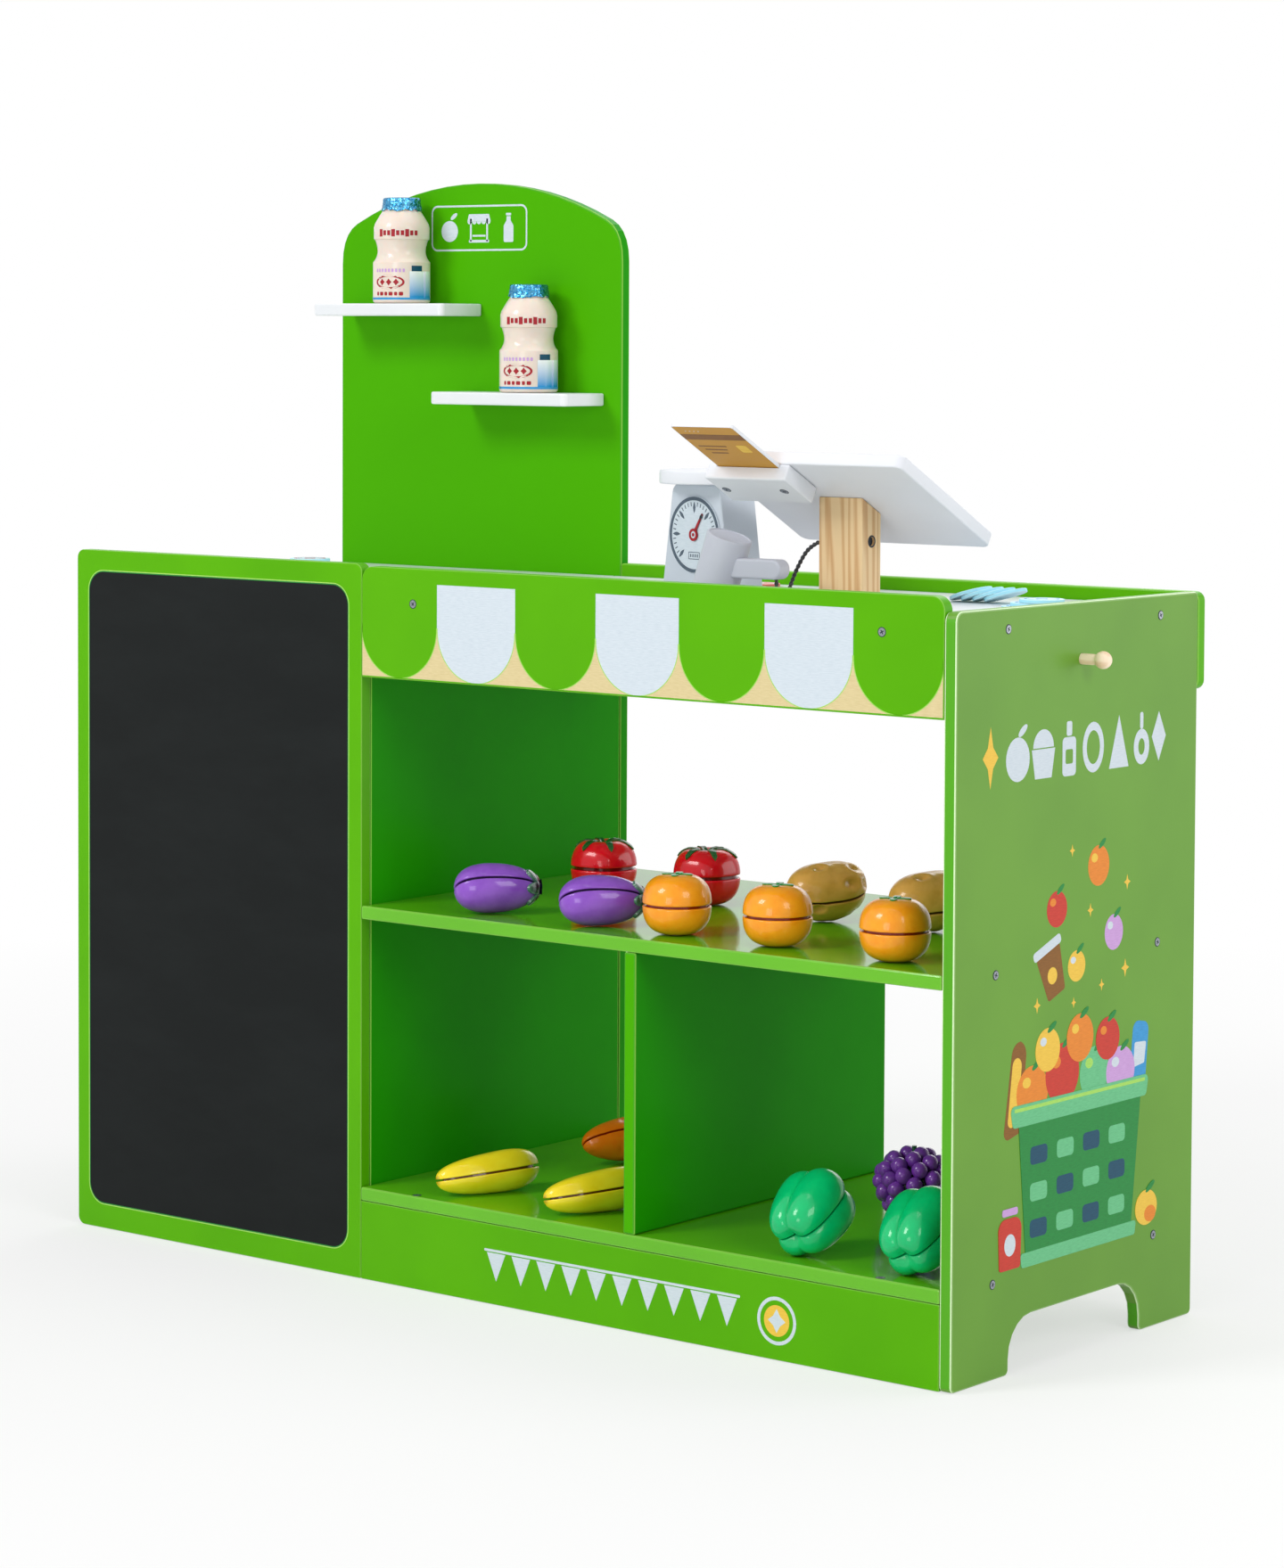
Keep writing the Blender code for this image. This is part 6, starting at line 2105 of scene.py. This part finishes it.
def pepper_form(co: Vector) -> Vector:
    """Four full lobes with sharp valleys, and a bump under each at the flower end.

    Args:
        co: a point of the unit ball.

    Returns:
        The point of the pepper.
    """
    point = full(co, 2.6)
    flat = math.hypot(point.x, point.y)
    valley = 1.0 - abs(math.cos(2.0 * math.atan2(point.y, point.x))) ** 0.7
    swell = 1.0 - 0.20 * min(1.0, flat * 1.5) * valley
    narrow = 1.0 - 0.26 * (1.0 - point.z) / 2.0
    sink = 0.34 * (1.0 - min(flat, 1.0)) ** 2 + 0.14 * valley * flat * abs(point.z)
    height = point.z - math.copysign(sink, point.z)
    return sized(point, (0.0368, 0.0368, 0.0395), swell * narrow, height)


def lying(heading: float, roll: float = 0.0, pitch: float = 0.0) -> Matrix:
    """Lay the stem axis level along a heading, rolled about itself first."""
    return turned(heading, "Z") @ turned(90 - pitch, "Y") @ turned(roll, "Z")


@dataclass
class Leaves:
    """The star of leaves at a fruit's stem end."""

    points: int
    shortest: float
    longest: float
    sharpness: float
    lift: float
    finish: Finish
    stalk_radius: float
    stalk_length: float
    edge_tint: float = 0.0
    steps: int = 9
    sides: int = 72

    def grow(self, fruit: Shape, form: Form) -> None:
        """Lay the leaves on a fruit, and set the stalk in their middle.

        Args:
            fruit: the piece that they are on.
            form: its form, the stem end at +Z.
        """
        rings, tints = [], []
        for layer, lift in ((1, self.lift), (0, -0.02)):
            found, colours = [], []
            for i in range(self.steps + 1):
                share = i / self.steps
                ring = []
                for angle in around(self.sides):
                    wave = abs(math.cos(self.points * angle / 2)) ** self.sharpness
                    reach = self.shortest + (self.longest - self.shortest) * wave
                    polar = reach * max(share, 0.02)
                    flat = math.sin(polar)
                    co = Vector((flat * math.cos(angle), flat * math.sin(angle), math.cos(polar)))
                    ridge = 0.4 * self.lift * wave * share * layer
                    ring.append(form(co) * (1.0 + lift * (0.5 + 0.5 * share) + ridge))
                found.append(ring)
                colours.append([self.edge_tint * share**6] * self.sides)
            rings += found if layer else reversed(found)
            tints += colours if layer else reversed(colours)
        fruit.grid(rings, None, self.finish, tints)
        r, tall = self.stalk_radius, self.stalk_length
        profile = [
            (0.0, tall), (r * 0.85, tall), (r, tall * 0.92), (r * 0.8, tall * 0.5), (r * 1.3, 0.0),
            (r * 1.6, -0.002), (0.0, -0.002),
        ]

        def ribs(angle: float, _height: float) -> float:
            """Five ribs along the stalk."""
            return r * 0.12 * math.cos(5 * angle)

        fruit.lathe(profile, 25, at(*form(Vector((0.0, 0.0, 1.0)))), self.finish, ribs)


@dataclass
class Food:
    """One kind of play food: its surface, the plane between its halves, its looks and its lie."""

    names: tuple[str, ...]
    form: Form
    normal: Place
    skin: Finish
    slot: str
    turn: Matrix
    leaves: Leaves | None = None
    groove: float = 0.002
    ends: float = 0.0  # how far both ends take the tint


@dataclass
class PlayFood:
    """Two-half food, each piece grooved where its halves meet, with painted shade in the groove,
    lying as the CAD has it.
    """

    groove_floor: float = 0.88
    sides: int = 88
    steps: int = 26

    def build(self) -> None:
        """Make every piece of food."""
        across, level, valley = (1.0, 0.0, 0.0), (0.0, 0.0, 1.0), (0.7071, 0.7071, 0.0)
        pair, standing = ("_left", "_right"), turned(25, "Z")
        cap = Leaves(6, 0.50, 0.86, 0.8, 0.06, STALK_DARK, 0.0070, 0.003, 0.6)
        star = Leaves(6, 0.14, 1.00, 4.5, 0.04, LEAF_GREEN, 0.0020, 0.003, 0.3)
        leaf = Leaves(4, 0.06, 0.44, 1.8, 0.03, SPRIG_GREEN, 0.0014, 0.002)
        crown = Leaves(5, 0.20, 0.42, 1.0, 0.05, LEAF_GREEN, 0.0042, 0.012)
        tuft = Leaves(7, 0.25, 0.45, 1.0, 0.06, LEAF_GREEN, 0.0050, 0.006)
        kinds = {
            "eggplant": Food(
                pair, eggplant_form, across, EGGPLANT_SKIN, "purple_plastic", lying(48, -34), cap,
            ),
            "tomato": Food(pair, tomato_form, level, TOMATO_SKIN, "tomato_plastic", standing, star),
            "orange": Food(
                ("_left", "_middle", "_right"), orange_form, level, ORANGE_SKIN, "orange_plastic",
                standing, leaf,
            ),
            "potato": Food(pair, potato_form, across, POTATO_SKIN, "tan_plastic", lying(60, 16, 7)),
            "banana": Food(
                pair, banana_form, across, BANANA_SKIN, "yellow_plastic", lying(248, 12, -3),
                ends=0.6,
            ),
            "carrot": Food(
                ("",), carrot_form, across, CARROT_SKIN, "carrot_plastic", lying(70, -42), tuft,
            ),
            "pepper": Food(
                pair, pepper_form, valley, PEPPER_SKIN, "pepper_plastic", lying(98, 118, 28),
                crown, 0.0009,
            ),
        }
        for kind, food in kinds.items():
            for name in food.names:
                self.split(kind + name, food)
        self.grapes(standing)

    def split(self, name: str, food: Food) -> None:
        """Make one piece of food from its two halves.

        Args:
            name: its CAD node and body.
            food: what kind it is.
        """
        fruit = Shape(name + "_skin", [food.skin])
        normal = Vector(food.normal)
        gap = food.groove / 2 / food.form(normal).length
        facing = normal.to_track_quat("Z", "Y").to_matrix()
        edge = math.asin(gap * 2.6)
        floor = self.groove_floor
        for side in (1.0, -1.0):
            profile = [(0.0, 1.0, 0.0)]
            for i in range(1, self.steps + 1):
                angle = math.pi / 2 + (edge - math.pi / 2) * i / self.steps
                profile.append((math.cos(angle), math.sin(angle), 0.0))
            # Painted shade: the third value darkens the groove's walls and floor
            profile += [
                (0.9965, gap * 1.9, 0.0), (0.990, gap * 1.35, 0.0), (0.977, gap * 1.05, 0.10),
                (0.950, gap * 0.95, 0.75), (floor, gap * 0.9, 1.0), (floor, 0.0, 1.0),
            ]
            rings, tints = [], []
            for radius, height, shade in profile:
                ring, shades = [], []
                for angle in around(self.sides if radius else 1):
                    flat = (radius * math.cos(angle), radius * math.sin(angle), height * side)
                    co = facing @ Vector(flat)
                    ring.append(food.form(co))
                    shades.append(max(shade, min(food.ends, (abs(co.z) - 0.94) * 10.0)))
                rings.append(ring)
                tints.append(shades)
            fruit.grid(rings, None, food.skin, tints)
        body_points = len(fruit.points)
        if food.leaves:
            food.leaves.grow(fruit, food.form)
        self.settle(fruit, name, food.slot, food.turn, body_points)

    def settle(self, fruit: Shape, node: str, slot: str, turn: Matrix, body_points: int) -> None:
        """Turn the piece as it lies, and rest it where its CAD node is.

        Args:
            fruit: the piece.
            node: its CAD node and body.
            slot: the record's material slot.
            turn: how it lies.
            body_points: how many of its points the CAD node also has.
        """
        xs, ys, zs = zip(*(turn @ point for point in fruit.points[:body_points]))
        low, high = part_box(node)
        x = (low.x + high.x) / 2 - (min(xs) + max(xs)) / 2
        y = (low.y + high.y) / 2 - (min(ys) + max(ys)) / 2
        fruit.finish_piece(
            node, [node], slot, place=at(x, y, low.z - min(zs)) @ turn, smooth_below=60,
        )

    def grapes(self, turn: Matrix) -> None:
        """A bunch of round berries, packed about a dark core, with a short stalk.

        Args:
            turn: how the bunch lies.
        """
        bunch = Shape("grapes_berries", [GRAPE_SKIN])
        count, radius, size = 58, 0.0072, (0.0285, 0.0285, 0.0262)
        halves = [math.pi * i / 10 for i in range(1, 10)]
        ball = [(radius * math.sin(angle), radius * math.cos(angle)) for angle in halves]
        ball = [(0.0, radius), *ball, (0.0, -radius)]
        for i in range(count):
            height = 1.0 - 2.0 * (i + 0.5) / count
            angle = i * GOLDEN_ANGLE + random.uniform(-0.08, 0.08)
            flat = math.sqrt(1.0 - height * height) * (1.0 + 0.12 * height)
            spot = Vector((flat * math.cos(angle), flat * math.sin(angle), height))
            bunch.lathe(ball, 20, at(*(sized(spot, size) + Vector((0.0, 0.0, 0.004)))))
        core = [
            (0.0, 0.028), (0.015, 0.024), (0.0255, 0.010), (0.0255, -0.004), (0.014, -0.017),
            (0.0, -0.021),
        ]
        bunch.lathe(core, 24, None, STALK_DARK)
        body_points = len(bunch.points)
        stalk = [(0.0, 0.0375), (0.0022, 0.0375), (0.0018, 0.034), (0.0026, 0.028), (0.0, 0.028)]
        bunch.lathe(stalk, 12, None, LEAF_GREEN)
        self.settle(bunch, "grapes", "grape_plastic", turn, body_points)


@dataclass
class HookPeg:
    """The turned beech peg on the side panel."""

    place: Place = (RIGHT, -0.006, 0.575)
    shaft_radius: float = 0.0046
    ball_radius: float = 0.0074
    shaft_length: float = 0.013

    def build(self) -> None:
        """Ball, neck and shaft as one turned piece."""
        thin, reach = self.shaft_radius, self.shaft_length
        middle = reach + self.ball_radius
        start = math.degrees(math.asin(thin / self.ball_radius))
        ball = arc((0.0, middle), self.ball_radius, 90, start - 90, 16)
        ball[0] = (0.0, middle + self.ball_radius)
        shaft = [(thin - 0.0003, reach - 0.0006), (thin, reach - 0.002), (thin, 0.0)]
        peg = Shape("beech_peg", [BEECH])
        place = at(*self.place) @ turned(90, "Y")
        peg.lathe(ball + shaft + [(thin, -0.008), (0.0, -0.008)], 40, place)
        peg.finish_piece(CABINET, ["hook_peg"], "beech")


def main() -> None:
    """Build the studio, the rope and every part of the shop, in order."""
    random.seed(7)
    parts = [
        Studio(), Tether(), Cabinet(), Prints(), Screws(), Register(), PlayScale(), Scanner(),
        Coins(), DrinkBottle("bottle_upper", -0.4059, 0.868),
        DrinkBottle("bottle_lower", -0.2419, 0.783), PlayFood(), HookPeg(),
    ]
    for part in parts:
        LOG.info("building %s", type(part).__name__)
        part.build()


if __name__ == "__main__":
    main()
